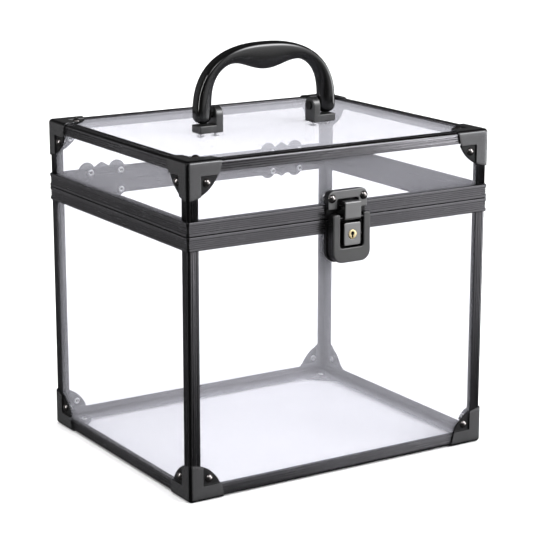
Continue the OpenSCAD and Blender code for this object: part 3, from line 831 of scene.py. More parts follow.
def step(x, middle):
    """Smooth rise from 0 to 1 over the press radius: 3s^2 - 2s^3."""
    s = np.clip((x - middle) / PRESS + 0.5, 0, 1)
    return s * s * (3 - 2 * s)


def sheet_points(u, v, inner):
    """Point of the sheet over (u, v) of the level face: corner centre + direction x (round - offset)."""
    q = np.stack([u, v, np.zeros_like(u)], -1)
    centre = np.maximum(q, CAP_ROUND)
    direction = (q - centre) / np.linalg.norm(q - centre, axis=-1, keepdims=True)
    near_rim = np.clip((np.hypot(u, v) - (CAP_REACH - CAP_EDGE)) / CAP_EDGE, 0, 1)
    edge = CAP_EDGE * (1 - np.sqrt(1 - near_rim ** 2))
    ear = CAP_BAND + PRESS / 2 - (CAP_SHEET * 0.7 if inner else 0)
    offset = EAR_SUNK * step(u, ear) * step(v, ear) + (CAP_SHEET - edge if inner else edge)
    return centre + direction * (CAP_ROUND - offset)[..., None]


print("ear sunk", EAR_SUNK, "mm over", PRESS, "mm")


# %% Grids that tile a cap, and the eight caps
def patch_grids():
    """(u, v) grids that tile the quarter disc: a square core, two strips out to the arc, and a fan."""
    fillet = CAP_ROUND - CAP_ROUND * np.tan(np.radians(np.linspace(45, 0, 7)))
    core = np.r_[fillet, 7, 10, np.linspace(12.0, CORE - 0.3, 13), CORE]
    out = np.r_[0, 0.3, 0.6, 0.85, 1 - 0.4 / 17 * np.array([1, 0.7, 0.4, 0.15, 0])]
    u, v = np.meshgrid(core, core, indexing="ij")
    strip_u, t = np.meshgrid(core, out, indexing="ij")
    strip_v = CORE + t * (np.sqrt(CAP_REACH ** 2 - strip_u ** 2) - CORE)
    angle, t = np.meshgrid(np.radians(np.linspace(0, 90, 11)), out, indexing="ij")
    c, s = np.cos(angle), np.sin(angle)
    reach = -CORE * (c + s) + np.sqrt(CORE ** 2 * (c + s) ** 2 - 2 * CORE ** 2 + CAP_REACH ** 2)
    return [(u, v), (strip_u, strip_v), (strip_v.T, strip_u.T), (CORE + t * reach * c, CORE + t * reach * s)]


def cap_sheet():
    """The whole cap in its own corner frame, X, Y and Z inwards: (points, faces)."""
    parts = []
    grids = patch_grids()
    for u, v in grids:
        for inner in (False, True):
            parts.append((sheet_points(u, v, inner).reshape(-1, 3), grid_faces(*u.shape).tolist()))
    for u, v in ((grids[1][0][:, -1], grids[1][1][:, -1]), (grids[2][0][-1], grids[2][1][-1]),
                 (grids[3][0][:, -1], grids[3][1][:, -1])):
        wall = np.stack([sheet_points(u, v, False), sheet_points(u, v, True)])
        parts.append((wall.reshape(-1, 3), grid_faces(2, len(u)).tolist()))
    points, faces = joined(parts)
    turned = [(points[:, order], faces) for order in ([0, 1, 2], [1, 2, 0], [2, 0, 1])]
    return joined(turned)


cap_points, cap_faces = cap_sheet()
inward = np.sort(np.array([cap_points[list(f)].mean(0) for f in cap_faces]), axis=1)
in_recess = (inward[:, 0] < CAP_ROUND) & (inward[:, 1] > CAP_BAND + 0.1)
for body, from_top in (("base", False), ("lid", True)):
    for (sx, sy), name in zip(CORNERS, ("front_left", "front_right", "back_right", "back_left")):
        x = sx * (W / 2 - cap_points[:, 0])
        y = sy * (D / 2 - cap_points[:, 1])
        z = H - cap_points[:, 2] if from_top else cap_points[:, 2]
        cap = new_piece(f"{body}_cap_{name}", np.c_[x, y, z] * MM, cap_faces, [CAP_PAINT, CAP_SHADE],
                        merge=2e-6)
        # Sunk ears get painted shade, and rounded edges near-black painted shade.
        stand_in(paint_edge_shade(paint_second(cap, in_recess)), body, "corner_steel", f"{body}_corner_{name}")
print("cap faces", len(cap.data.polygons), "in the recesses", int(in_recess.sum()))

# %% [markdown]
# ## Rivets
#
# Tubular rivets hold everything. Outside they show a smooth dome; inside, the end of the tube is rolled
# outwards into a bright ring round a dark hole. One profile has it all: dome, shank, ring, hole.

# %% Rivet shapes
SHANK = 1.6


def rivet_profile(grip, head_r=3.8, head_h=2.4):
    """(radius, height) from the top of the dome to the bottom of the hole; height 0 is under the head."""
    ball = (head_r ** 2 + head_h ** 2) / (2 * head_h)
    a = np.linspace(0, np.arcsin(head_r / ball), 12)
    dome = np.c_[ball * np.sin(a), head_h - ball * (1 - np.cos(a))]
    roll = np.radians(np.linspace(0, 180, 11))
    ring = np.c_[2.05 + 0.95 * np.cos(roll), -grip - 0.9 * np.sin(roll)]
    return np.concatenate([dome, [(head_r, 0), (SHANK, 0), (SHANK, -grip)], ring,
                           [(1.1, -grip + 1.0), (0, -grip + 1.0)]])


def stamped(places, profile, segments=28):
    """Copies of one turned profile: places are (origin in mm, axis number, outward sign)."""
    points, faces = lathe(profile, segments)
    parts = []
    for origin, axis, sign in places:
        turned = np.roll(points * [1, 1, sign], axis - 2, axis=1)
        parts.append(((turned + np.array(origin)) * MM, faces.tolist()))
    return joined(parts)


print("rivet profile points", len(rivet_profile(5.0)))


# %% The rivets of the caps
def bright_inside(piece):
    """Second material on the faces that lie further in than the middle of the clear sheets."""
    depth = 5.0                              # from each outer plane
    x, y, z = per_face(piece, "center").T / MM
    return paint_second(piece, (abs(x) < W / 2 - depth) & (abs(y) < D / 2 - depth)
                        & (z > depth) & (z < H - depth))


RIVET_IN, EAR_FACE, SHEET_IN = 19.0, 1.4, 5.6
grip = SHEET_IN - EAR_FACE
for body, level, level_head in (("base", 0, 1.2), ("lid", H, 2.4)):
    up = level + (RIVET_IN if level == 0 else -RIVET_IN)
    walls = [((sx * (W / 2 - RIVET_IN), sy * (D / 2 - EAR_FACE), up), 1, sy) for sx, sy in CORNERS]
    walls += [((sx * (W / 2 - EAR_FACE), sy * (D / 2 - RIVET_IN), up), 0, sx) for sx, sy in CORNERS]
    sign = -1 if level == 0 else 1
    levels = [((sx * (W / 2 - RIVET_IN), sy * (D / 2 - RIVET_IN), level - sign * EAR_FACE), 2, sign)
              for sx, sy in CORNERS]
    made = joined([stamped(walls, rivet_profile(grip)),
                   stamped(levels, rivet_profile(grip, head_h=level_head))])
    piece = new_piece(f"{body}_cap_rivets", *made, [RIVET_NICKEL, BARE_STEEL])
    stand_in(bright_inside(piece), body, "rivet", f"{body}_corner_rivets")
print("rivets on each body", len(walls) + len(levels))

# %% [markdown]
# ## Hinges
#
# Each hinge has two pressed leaves. A leaf's edge runs over a round lobe, a pointed tooth and a second lobe,
# and its straight edge is rolled into knuckles that share one pin. The leaves lie on the back of the two
# rims, so they are seen through the clear front of the box.

# %% Outline of a hinge leaf
HINGE_HALF, HINGE_OUT, BARREL_R, LEAF_T, KNUCKLES = 23.5, 4.4, 3.6, 1.2, 5
hinge_middles = [(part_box(f"hinge_lid_leaf_{s}")[0][0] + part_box(f"hinge_lid_leaf_{s}")[1][0]) / 2 / MM
                 for s in ("left", "right")]
HINGE_RIVET, LOBE_R, TOOTH_TIP, TIP_R = (15.2, 9.0), 8.2, 16.8, 1.1
leaf_side = [(HINGE_HALF, BARREL_R + 0.4), (HINGE_HALF, 8.2)] + list(arc(HINGE_RIVET, LOBE_R, 0, 156, 27))
leaf_tip = arc((0, TOOTH_TIP - TIP_R * 1.2), TIP_R, 52, 128, 7)
LEAF = np.array(leaf_side + list(leaf_tip) + [(-x, y) for x, y in leaf_side[::-1]])
print("hinge middles", [round(float(m), 1) for m in hinge_middles], "leaf outline", len(LEAF))


# %% Hinge leaves with their knuckles
KNUCKLE_GAP = 0.3


def knuckle_profile(length):
    """(radius, along) of one knuckle: a tube's outside with rounded ends, closed onto the pin."""
    a = np.radians(np.linspace(90, 0, 4))
    low = np.c_[BARREL_R - 0.35 + 0.35 * np.cos(a), 0.35 - 0.35 * np.sin(a)]
    return np.concatenate([[(0, 0)], low, (low * [1, -1] + [0, length])[::-1], [(0, length)]])


def hinge_leaf(middle, first, up):
    """A leaf on one side of the axis: up is 1 for the lid's leaf and -1 for the base's."""
    def to_space(p):
        return back(np.c_[p[:, 0] + middle, split + up * p[:, 1], p[:, 2]])
    parts = [plate(LEAF, 0, LEAF_T, 0.3, to_space)]
    pitch = 2 * HINGE_HALF / KNUCKLES
    for k in range(first, KNUCKLES, 2):
        start, long = -HINGE_HALF + k * pitch + KNUCKLE_GAP / 2, pitch - KNUCKLE_GAP
        web = rounded([(start, 0, 0.1), (start + long, 0, 0.1), (start + long, 5.0, 0.1),
                       (start, 5.0, 0.1)], 3)
        parts.append(plate(web, 0.05, LEAF_T, 0.1, to_space, 2))
        points, faces = lathe(knuckle_profile(long), 32)
        turned = np.c_[points[:, 2] + start + middle, points[:, 0] + D / 2 + HINGE_OUT,
                       points[:, 1] + split]
        parts.append((turned * MM, faces.tolist()))
    return joined(parts)


for body, first, up in (("lid", 1, 1), ("base", 0, -1)):
    for middle, side in zip(hinge_middles, ("left", "right")):
        leaf = new_piece(f"hinge_{body}_{side}_pressed", *hinge_leaf(middle, first, up), LEAF_METAL)
        stand_in(soften_flat(leaf), body, "fitting", f"hinge_{body}_leaf_{side}")
print("last leaf points", len(leaf.data.vertices))

# %% [markdown]
# ## Strike plate
#
# The strike plate is the lid's half of the latch: an arched frame round a sunk pocket with the catch in it,
# and one big dome in each upper corner. It is thick where it stands on the sheet and thin over the rim.

# %% Sides in painted shade
def paint_side_shade(piece, face, tolerance=0.75):
    """Second material, a near-black painted shade, on every face that isn't near the front face and turned to
    the front.
    """
    out = -D / 2 - per_face(piece, "center")[:, 1] / MM
    return paint_second(piece, (out < face - tolerance) | (per_face(piece, "normal")[:, 1] > -0.25))


print("side paint ready")

# %% Strike plate
strike_lo, strike_hi = (np.array(c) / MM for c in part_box("latch_strike_plate"))
STRIKE_HALF, STRIKE_LOW, STRIKE_TOP = strike_hi[0], strike_lo[2], strike_hi[2]
POCKET_HALF, POCKET_TOP, STRIKE_T, SHEET_OUT = 10.6, split + 16.6, 1.4, 2.6
STRIKE_FACE, STRIKE_RAISED, RIM_TOP = 4.6, split + 8.4, split + 12.2


def arch_frame(low, soft):
    """Outline of the plate round its pocket, which is open below."""
    return rounded([(POCKET_HALF, low, soft), (STRIKE_HALF, low, 0.8), (STRIKE_HALF, STRIKE_TOP, 5.0),
                    (-STRIKE_HALF, STRIKE_TOP, 5.0), (-STRIKE_HALF, low, 0.8), (-POCKET_HALF, low, soft),
                    (-POCKET_HALF, POCKET_TOP, 1.6), (POCKET_HALF, POCKET_TOP, 1.6)], 8)


backing = rounded(mirrored([(STRIKE_HALF - 0.3, RIM_TOP, 0.5),
                            (STRIKE_HALF - 0.3, STRIKE_TOP - 0.3, 4.7)]), 8)
pocket = rounded(mirrored([(POCKET_HALF + 1, STRIKE_LOW, 0.3), (POCKET_HALF + 1, POCKET_TOP + 1, 1.0)]))
catch = rounded([(0.3, split + 6.9, 0.3), (4.2, split + 7.4, 0.8), (4.2, split + 10.0, 0.8),
                 (0.3, split + 10.6, 0.3)])
strike = new_piece("latch_strike_pressed", *joined([
    plate(arch_frame(STRIKE_LOW, 0.5), 0, STRIKE_T, 0.4, front),
    plate(arch_frame(STRIKE_RAISED, 0.7), STRIKE_T - 0.5, STRIKE_FACE, 0.65, front, 5),
    plate(backing, -SHEET_OUT, 0.05, 0.2, front),
    plate(pocket, 0.02, 0.4, 0.1, front), plate(catch, -6.5, 6.5, 0.5, across)]),
    [STRIKE_METAL, PLATE_PAINT_AND_SIDE_SHADE])
# The strike's pocket, thin plate, catch and sides take painted shade; only the raised face keeps its metal.
stand_in(soften_flat(paint_side_shade(strike, STRIKE_FACE)), "lid", "fitting", "latch_strike_plate")
print("strike plate", round(2 * STRIKE_HALF, 1), "x", round(STRIKE_TOP - STRIKE_LOW, 1), "mm")

# %% [markdown]
# ## Rivets of the fittings
#
# The same tubular rivets hold the hinges and the latch, with flatter heads where something moves over them.
# Their rolled tails are bright inside the box.

# %% Rivets of the fittings
STRIKE_RIVET = (15.7, split + 17.7)
BASE_RIVETS = [(-14.5, split - 17), (14.5, split - 17), (-12, split - 31), (12, split - 31)]
PLATE_T = 1.2
for body, up in (("lid", 1), ("base", -1)):
    places = [((m + s * HINGE_RIVET[0], D / 2 + LEAF_T, split + up * HINGE_RIVET[1]), 1, 1)
              for m in hinge_middles for s in (-1, 1)]
    parts = [stamped(places, rivet_profile(RIM_DEPTH + LEAF_T, 3.2, 1.4))]
    if body == "lid":
        fronts = [((s * STRIKE_RIVET[0], -D / 2 - STRIKE_FACE, STRIKE_RIVET[1]), 1, -1) for s in (-1, 1)]
        parts.append(stamped(fronts, rivet_profile(SHEET_IN + STRIKE_FACE, 3.8, 2.4), 36))
    else:
        fronts = [((x, -D / 2 - PLATE_T, z), 1, -1) for x, z in BASE_RIVETS]
        parts.append(stamped(fronts, rivet_profile(SHEET_IN + PLATE_T, 3.0, 0.9)))
    piece = new_piece(f"{body}_fitting_rivets_turned", *joined(parts), [RIVET_NICKEL, BARE_STEEL])
    stand_in(bright_inside(piece), body, "rivet", f"{body}_fitting_rivets")
print("rivets on the last body", len(places) + len(fronts))

# %% [markdown]
# ## Latch on the base
#
# On the base a dark plate carries the lock block, and two lugs hold the lever's pin. Plate and lugs are
# rounded outlines with thickness; the plate is thicker where it lies on the sheet below the rim.

# %% Base plate
PLATE_HALF, PLATE_LOW = 19.2, split - 37.0
LUG_X, LEVER_Z = (9.2, 11.2), split + 1.5
plate_outline = rounded(mirrored([(PLATE_HALF, PLATE_LOW, 10.0), (PLATE_HALF, split - 0.6, 0.9)]), 10)
plate_back = rounded(mirrored([(PLATE_HALF - 0.25, PLATE_LOW + 0.25, 9.7),
                               (PLATE_HALF - 0.25, split - 12.2, 0.3)]), 10)
lug = rounded([(0.8, split - 9.5, 0.2), (4.0, split - 9.5, 1.0), (7.9, LEVER_Z - 0.6, 2.2),
               (7.2, LEVER_Z + 2.3, 2.0), (3.0, LEVER_Z + 2.0, 1.6), (0.8, split - 1.0, 0.2)])
base_plate = new_piece("latch_base_pressed", *joined(
    [plate(plate_outline, 0, PLATE_T, 0.4, front), plate(plate_back, -SHEET_OUT, 0.05, 0.15, front)]
    + [plate(lug, *sorted((s * LUG_X[0], s * LUG_X[1])), 0.3, across) for s in (-1, 1)]), PLATE_PAINT_AND_SIDE_SHADE)
stand_in(soften_flat(base_plate), "base", "fitting", "latch_base_plate")
print("base plate", 2 * PLATE_HALF, "mm wide")

# %% [markdown]
# ## Lock block
#
# The block is a small casting with a round well for the cylinder. Its face is made of rings: the outer ones
# follow the block's rounded outline, the inner ones the circle, so no face has to bridge a corner.

# %% Lock block
BLOCK_HALF, BLOCK_Z, BLOCK_OUT, BLOCK_EDGE = 8.2, (split - 21.8, split - 2.5), 11.6, 0.7
LOCK_Z, LOCK_R, LOCK_STEPS = split - 12.5, 4.0, 96


def faced_block():
    """A block with a round well in its front face: the face runs from the outline in to the well's circle.

    The outline is sampled at the angles of the circle, so each ring from one to the other has as many points:
    point = (1 - t) x outline + t x circle.
    """
    n = LOCK_STEPS
    a = np.linspace(0, 2 * np.pi, n, endpoint=False)
    c, s = np.cos(a), np.sin(a)
    middle = (BLOCK_Z[0] + BLOCK_Z[1]) / 2
    hx, hz, soft = BLOCK_HALF, (BLOCK_Z[1] - BLOCK_Z[0]) / 2, 14
    reach = (np.abs(c / hx) ** soft + np.abs(s / hz) ** soft) ** (-1 / soft)
    rim = np.c_[reach * c, middle + reach * s]

    def ring(flat, out):
        return np.c_[flat, np.full(n, out)]

    def circle(r):
        return np.c_[r * c, LOCK_Z + r * s]

    rows = [ring(rim, PLATE_T)]
    rows += [ring(shrink(rim, BLOCK_EDGE * (1 - np.cos(k))), BLOCK_OUT - BLOCK_EDGE * (1 - np.sin(k)))
             for k in np.radians(np.linspace(0, 90, 5))]
    face, well = shrink(rim, BLOCK_EDGE), circle(LOCK_R + 0.35)
    rows += [ring((1 - k) * face + k * well, BLOCK_OUT) for k in (0.5, 0.96, 1.0)]
    rows += [ring(circle(LOCK_R + 0.1), BLOCK_OUT - down) for down in (0.3, 3.0)]
    return front(np.concatenate(rows)) * MM, tube_faces(len(rows), n)


block = new_piece("lock_block_cast", *faced_block(), [BLOCK_METAL_LIT, PLATE_PAINT_AND_SIDE_SHADE])
# The block's sides take painted shade.
stand_in(soften_flat(paint_side_shade(block, BLOCK_OUT, 0.9)), "base", "fitting", "lock_block")
print("lock block", round(2 * BLOCK_HALF, 1), "x", round(BLOCK_Z[1] - BLOCK_Z[0], 1), "mm")

# %% [markdown]
# ## Lever
#
# The lever is a U: a flat face with a skirt behind it, its lower part bent outwards a little so that a
# finger gets under it. The bend is a function on the finished points: the further below the bend line, the
# further out. The outlines get extra points at regular heights first, so that there is something to bend.

# %% Outlines of the lever
LEVER_HALF, LEVER_TOP, LEVER_LOW = 18.4, split + 5.0, split - 36.0
ARM, LEVER_BAR, LEVER_ROUND, LEVER_BACK, LEVER_FACE, SKIRT_OUT = 6.8, 12.4, 9.0, 7.2, 11.0, 2.6
BEND_Z, BEND_OUT = split - 18.0, 0.75
arm_in = LEVER_HALF - ARM
u_outline = rounded([(-LEVER_HALF, LEVER_LOW, LEVER_ROUND), (LEVER_HALF, LEVER_LOW, LEVER_ROUND),
                     (LEVER_HALF, LEVER_TOP, 2.6), (arm_in, LEVER_TOP, 1.6),
                     (arm_in, LEVER_LOW + LEVER_BAR, 2.6), (-arm_in, LEVER_LOW + LEVER_BAR, 2.6),
                     (-arm_in, LEVER_TOP, 1.6), (-LEVER_HALF, LEVER_TOP, 2.6)], 9)
SKIRT_T, SKIRT_TOP, SKIRT_IN = 1.5, split - 4.5, 0.35
wall_out, wall_in = LEVER_HALF - SKIRT_IN, LEVER_HALF - SKIRT_IN - SKIRT_T
low_out, low_in = LEVER_LOW + SKIRT_IN, LEVER_LOW + SKIRT_IN + SKIRT_T
round_out, round_in = LEVER_ROUND - SKIRT_IN, LEVER_ROUND - SKIRT_IN - SKIRT_T
skirt = rounded([(-wall_out, low_out, round_out), (wall_out, low_out, round_out),
                 (wall_out, SKIRT_TOP, 0.4), (wall_in, SKIRT_TOP, 0.4),
                 (wall_in, low_in, round_in), (-wall_in, low_in, round_in),
                 (-wall_in, SKIRT_TOP, 0.4), (-wall_out, SKIRT_TOP, 0.4)], 9)
eye = rounded([(1.9, LEVER_Z - 3.5, 3.4), (9.6, LEVER_Z - 3.5, 0.3), (9.6, LEVER_Z + 3.4, 0.3),
               (1.9, LEVER_Z + 3.4, 3.4)], 8)
print("outline points", len(u_outline), len(skirt), len(eye))


# %% Bending, and the lever
def bent(points, faces):
    """Bends the lever's lower part outwards: out + BEND_OUT x s^1.3 x how far in front of the skirt's edge,
    where s runs from 0 at the bend line to 1 at the lever's end."""
    out, up = -D / 2 - points[:, 1] / MM, points[:, 2] / MM
    s = np.clip((BEND_Z - up) / (BEND_Z - LEVER_LOW), 0, 1)
    share = np.clip((out - SKIRT_OUT) / (LEVER_FACE - SKIRT_OUT), 0, 1)
    return np.c_[points[:, 0], points[:, 1] - BEND_OUT * s ** 1.3 * share * MM, points[:, 2]], faces


def cut_across(outline, levels):
    """Adds points to an outline where it crosses the given heights, so that a bend has rows to bend at."""
    nxt = np.roll(outline, -1, 0)
    parts = [outline]
    order = [np.arange(len(outline), dtype=float)]
    for level in levels:
        lo, hi = np.minimum(outline[:, 1], nxt[:, 1]), np.maximum(outline[:, 1], nxt[:, 1])
        hit = np.nonzero((lo < level - 0.05) & (hi > level + 0.05))[0]
        t = (level - outline[hit, 1]) / (nxt[hit, 1] - outline[hit, 1])
        parts.append(outline[hit] + t[:, None] * (nxt[hit] - outline[hit]))
        order.append(hit + t)
    return np.concatenate(parts)[np.argsort(np.concatenate(order))]


rows = np.arange(LEVER_LOW + 1.5, BEND_Z + 1.0, 1.5)
lever = new_piece("latch_lever_pressed", *joined(
    [bent(*plate(cut_across(u_outline, rows), LEVER_BACK, LEVER_FACE, 1.0, front, 6)),
     bent(*plate(cut_across(skirt, rows), SKIRT_OUT, LEVER_BACK + 0.4, 0.25, front, 3))]
    + [plate(eye, *sorted((s * arm_in, s * LEVER_HALF)), 0.5, across) for s in (-1, 1)]),
    [LEVER_METAL_SHADED, PLATE_PAINT_AND_SIDE_SHADE])
# The lever's skirt and sides take painted shade.
stand_in(soften_flat(paint_side_shade(lever, LEVER_FACE, 1.2)), "lever", "fitting", "latch_lever")
print("lever points", len(lever.data.vertices))

# %% [markdown]
# ## Hasp
#
# The hasp is a hooked strip seen from its edge: a hub on the pin, a flat face, and a lip that turns in over
# the catch. So its outline is drawn across the front and carried sideways.

# %% Hasp
HASP_HALF, HASP_TOP, HASP_FACE, HASP_T = 8.0, split + 15.4, 12.6, 2.2
hasp_back = HASP_FACE - HASP_T
hasp_outline = rounded([(7.7, LEVER_Z - 1.8, 1.5), (HASP_FACE, LEVER_Z - 1.8, 2.2),
                        (HASP_FACE, HASP_TOP, 1.5), (4.8, HASP_TOP, 0.6), (4.8, HASP_TOP - 4, 0.5),
                        (hasp_back, HASP_TOP - 4, 0.6), (hasp_back, LEVER_Z + 2.0, 0.6),
                        (7.7, LEVER_Z + 1.9, 1.4)], 8)
hasp = new_piece("latch_hasp_pressed", *plate(hasp_outline, -HASP_HALF, HASP_HALF, 0.7, across, 5),
                 [HASP_METAL, PLATE_PAINT_AND_SIDE_SHADE])
# The hasp's sides take painted shade.
stand_in(soften_flat(paint_side_shade(hasp, HASP_FACE, 1.6)), "hasp", "fitting", "latch_hasp")
print("hasp points", len(hasp.data.vertices))

# %% [markdown]
# ## Lock cylinder
#
# The brass cylinder has a turned face with a keyhole. The keyhole is a real well: its outline is a round
# head over a narrow slot, and the face between the rim and the well is a ring of quads.

# %% Lock cylinder
LOCK_OUT, WELL = 11.8, 3.6


def keyed_face():
    """Rings from the cylinder's side over its rounded edge to the keyhole, and down into it.

    The keyhole at angle a is the larger reach of a circle above the middle and a slot below it.
    """
    n = LOCK_STEPS
    a = np.linspace(0, 2 * np.pi, n, endpoint=False)
    c, s = np.cos(a), np.sin(a)
    head_up, head_r, slot_half, slot_down = 0.8, 1.65, 0.8, 3.3
    under = np.maximum(head_r ** 2 - (head_up * c) ** 2, 0)
    round_reach = head_up * s + np.sqrt(under)
    slot_reach = np.minimum(slot_half / np.maximum(np.abs(c), 1e-6),
                            slot_down / np.maximum(np.abs(s), 1e-6))
    reach = np.where(s < 0, np.maximum(slot_reach, round_reach), round_reach)
    rows = [np.stack([r * c, r * s, np.full(n, h)], -1) for r, h in
            ((LOCK_R, 6.2), (LOCK_R, LOCK_OUT - 0.35), (LOCK_R - 0.1, LOCK_OUT - 0.1),
             (LOCK_R - 0.35, LOCK_OUT))]
    hole = np.stack([reach * c, reach * s, np.full(n, LOCK_OUT)], -1)
    rows += [rows[-1] * [1 - t, 1 - t, 1] + hole * [t, t, 0] for t in (0.5, 0.97, 1.0)]
    rows.append(hole - [0, 0, WELL])
    return front(np.concatenate(rows) + [0, LOCK_Z, 0]) * MM, tube_faces(len(rows), n)


cylinder = new_piece("lock_cylinder_turned", *keyed_face(), [BRASS, KEYHOLE_SHADE])
x, y, z = per_face(cylinder, "center").T / MM
sideways = abs(per_face(cylinder, "normal")[:, 1]) < 0.5
in_wall = sideways & (np.hypot(x, z - LOCK_Z) < 3.2) & (-y - D / 2 > LOCK_OUT - WELL)
on_floor = abs(-y - D / 2 - (LOCK_OUT - WELL)) < 0.1
# The keyhole's walls and floor are painted near-black: painted shade.
stand_in(soften_flat(paint_second(cylinder, in_wall | on_floor)), "lock", "lock_brass", "lock_cylinder")
print("cylinder faces", len(cylinder.data.polygons))

# %% [markdown]
# ## Handle
#
# The grip is one moulded arch. Its outside and inside edges are two superellipses, and the inside one hangs
# down in a belly that fills the hand. At each station along the arch the section is a rounded shape that
# spans from the outside edge to the inside one; the ends close round the pivots. The ridge along its side,
# a little nearer to the outside, is what draws the long gleam.

# %% Handle grip
handle_lo, handle_hi = (np.array(c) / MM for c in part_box("handle_grip"))
PIVOT_Z = joints["handle_swing"][2] / MM
HANDLE_HALF, HANDLE_RISE, HANDLE_T = handle_hi[0], handle_hi[2] - PIVOT_Z, handle_hi[1] - handle_lo[1]
LEG_W, LEG_R = 16.0, 7.4
FINGER_HALF, FINGER_RISE = HANDLE_HALF - LEG_W, HANDLE_RISE - 14.0
BELLY_HALF, BELLY_DEEP, SECTION_SQUARE, RIDGE = 41, 10, 2.3, 0.34


def arch(x, half, rise, square):
    """Height of a superellipse: rise x (1 - |x / half|^square)^(1 / square)."""
    return rise * np.maximum(0, 1 - np.abs(x / half) ** square) ** (1 / square)


def grip_surface(stations=72, around=40):
    """Section at each station: middle + across x s + thickness x t.

    (s, t) runs round a superellipse whose widest line is moved towards the outside by the ridge; across is
    half the way from the outside edge to the inside one.
    """
    k = -np.cos(np.linspace(0, np.pi, stations))
    outer = np.stack([HANDLE_HALF * k, arch(HANDLE_HALF * k, HANDLE_HALF, HANDLE_RISE, 2.4)], -1)
    xi = FINGER_HALF * k
    swell = 0.5 + 0.5 * np.cos(np.pi * xi / BELLY_HALF)
    belly = np.where(np.abs(xi) < BELLY_HALF, BELLY_DEEP * swell, 0)
    inner = np.stack([xi, np.maximum(0, arch(xi, FINGER_HALF, FINGER_RISE, 3.4) - belly)], -1)
    end = np.linspace(0, 1, 12)[1:]
    drop = LEG_R * np.sin(end * np.pi / 2)
    wide = LEG_W / 2 * np.cos(end * np.pi / 2)
    leg_mid = (HANDLE_HALF + FINGER_HALF) / 2

    def closed(side):
        return [np.stack([side * (leg_mid + w), -drop], -1) for w in (wide, -wide)]

    left_out, left_in = (e[::-1] for e in closed(-1))
    right_out, right_in = closed(1)
    outer = np.concatenate([left_out, outer, right_out])
    inner = np.concatenate([left_in, inner, right_in])
    thick = np.full(stations, HANDLE_T / 2)
    ends = np.minimum(HANDLE_T / 2, np.sqrt(np.maximum(LEG_R ** 2 - drop ** 2, 0)))
    thick = np.concatenate([ends[::-1], thick, ends])
    angle = np.linspace(0, 2 * np.pi, around, endpoint=False)
    c, s = np.cos(angle), np.sin(angle)
    across_share, thick_share = (np.sign(v) * np.abs(v) ** (2 / SECTION_SQUARE) for v in (c, s))
    across_share = across_share - RIDGE * (1 - across_share ** 2)
    middle, half = (outer + inner) / 2, (inner - outer) / 2
    place = middle[:, None] + half[:, None] * across_share[None, :, None]
    y = thick[:, None] * thick_share[None]
    points = np.stack([place[..., 0], y, place[..., 1] + PIVOT_Z], -1)
    return points.reshape(-1, 3) * MM, tube_faces(len(middle), around)


grip_piece = new_piece("handle_grip_moulded", *grip_surface(), PLASTIC)
stand_in(grip_piece, "handle", "handle_plastic", "handle_grip")
print("grip", [round(float(v), 1) for v in handle_hi - handle_lo], "mm, pivots at", round(PIVOT_Z, 1))

# %% [markdown]
# ## Handle brackets
#
# Each bracket is a round ear for the pivot on a flat foot. The foot is a little narrower than the ear, so
# that no two faces share a plane, and both go down through the window in the top sheet's edge.

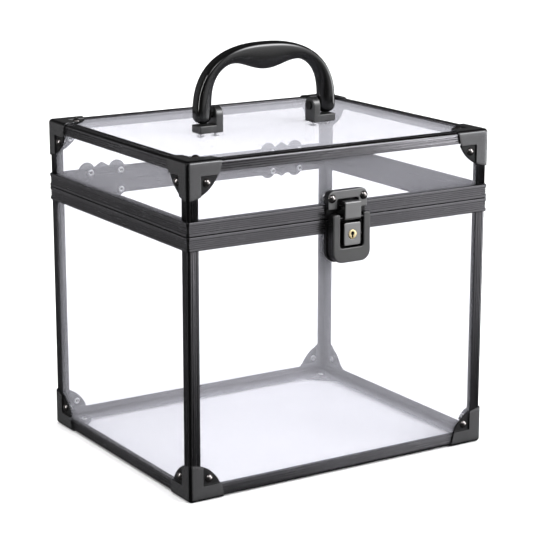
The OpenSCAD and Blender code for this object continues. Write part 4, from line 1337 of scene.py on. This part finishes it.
# %% Handle brackets and their rivets
BRACKET_X, EAR_W, FOOT_TOP, BRACKET_HALF, FOOT_HALF = (46.5, 70.0), 7.0, H + 4.0, 7.5, 7.35
SHEET_TOP = H - SHEET_OUT
ear_round = BRACKET_HALF - 0.01
ear_outline = rounded([(-BRACKET_HALF, SHEET_TOP, 0.3), (BRACKET_HALF, SHEET_TOP, 0.3),
                       (BRACKET_HALF, PIVOT_Z + BRACKET_HALF, ear_round),
                       (-BRACKET_HALF, PIVOT_Z + BRACKET_HALF, ear_round)], 14)
for side, name in ((-1, "left"), (1, "right")):
    foot = rounded([(BRACKET_X[0] + 3, -FOOT_HALF, 0.5), (BRACKET_X[1], -FOOT_HALF, 1.6),
                    (BRACKET_X[1], FOOT_HALF, 1.6), (BRACKET_X[0] + 3, FOOT_HALF, 0.5)], 6)
    mirror = [side, 1, 1]
    foot_part = plate(foot, SHEET_TOP, FOOT_TOP, 0.8, lambda p: p * mirror, 5)
    ear_part = plate(ear_outline, BRACKET_X[0], BRACKET_X[0] + EAR_W, 0.9,
                     lambda p: np.c_[p[:, 2] * side, p[:, 0], p[:, 1]], 5)
    bracket = new_piece(f"handle_bracket_{name}_cast", *joined([foot_part, ear_part]), BRACKET_METAL)
    stand_in(soften_flat(bracket), "lid", "fitting", f"handle_bracket_{name}")

places = [((s * x, 0.0, H - SHEET_IN), 2, -1) for s in (-1, 1) for x in (50.0, 65.0)]
pan = np.array([(0, 1.2), (1.8, 1.15), (2.6, 0.9), (3.2, 0.35), (3.3, 0), (1.6, 0), (1.6, -7.8), (0, -7.8)])
piece = new_piece("bracket_rivets_turned", *stamped(places, pan), BARE_STEEL)
stand_in(soften_flat(piece), "lid", "rivet", "handle_bracket_rivets")
print("brackets from", BRACKET_X[0], "to", BRACKET_X[1], "mm")

# %% [markdown]
# ## Finishes for the CAD nodes
#
# The clear sheets, the pins and the lock's cam keep their CAD shape and only get a finish. The nodes that
# have a stand-in are hidden, but they get their finish too, so that nothing is left plain.

# %% Finishes for the CAD nodes
CAD_FINISHES = [("_panel", ACRYLIC), ("posts", ANODISED[2]), ("rivets", RIVET_NICKEL),
                ("_corner_", CAP_PAINT), ("leaf", LEAF_METAL), ("bracket", BRACKET_METAL),
                ("handle_grip", PLASTIC), ("lock_block", BLOCK_METAL_LIT), ("lock_cylinder", BRASS),
                ("pin", DARK_STEEL), ("lock_cam", DARK_STEEL), ("latch_base_plate", PLATE_PAINT_AND_SIDE_SHADE),
                ("", LEVER_METAL_SHADED)]


def finish_of(name):
    """Rails and rims go by their side; any other node takes the first row whose word is in its name."""
    if "rail" in name or "_rim_" in name:
        return drawn_finish(name.rsplit("_", 1)[-1])
    return next(material for word, material in CAD_FINISHES if word in name)


for name, node in nodes.items():
    node.data.materials.clear()
    node.data.materials.append(finish_of(name))
print("finished", len(nodes), "nodes")
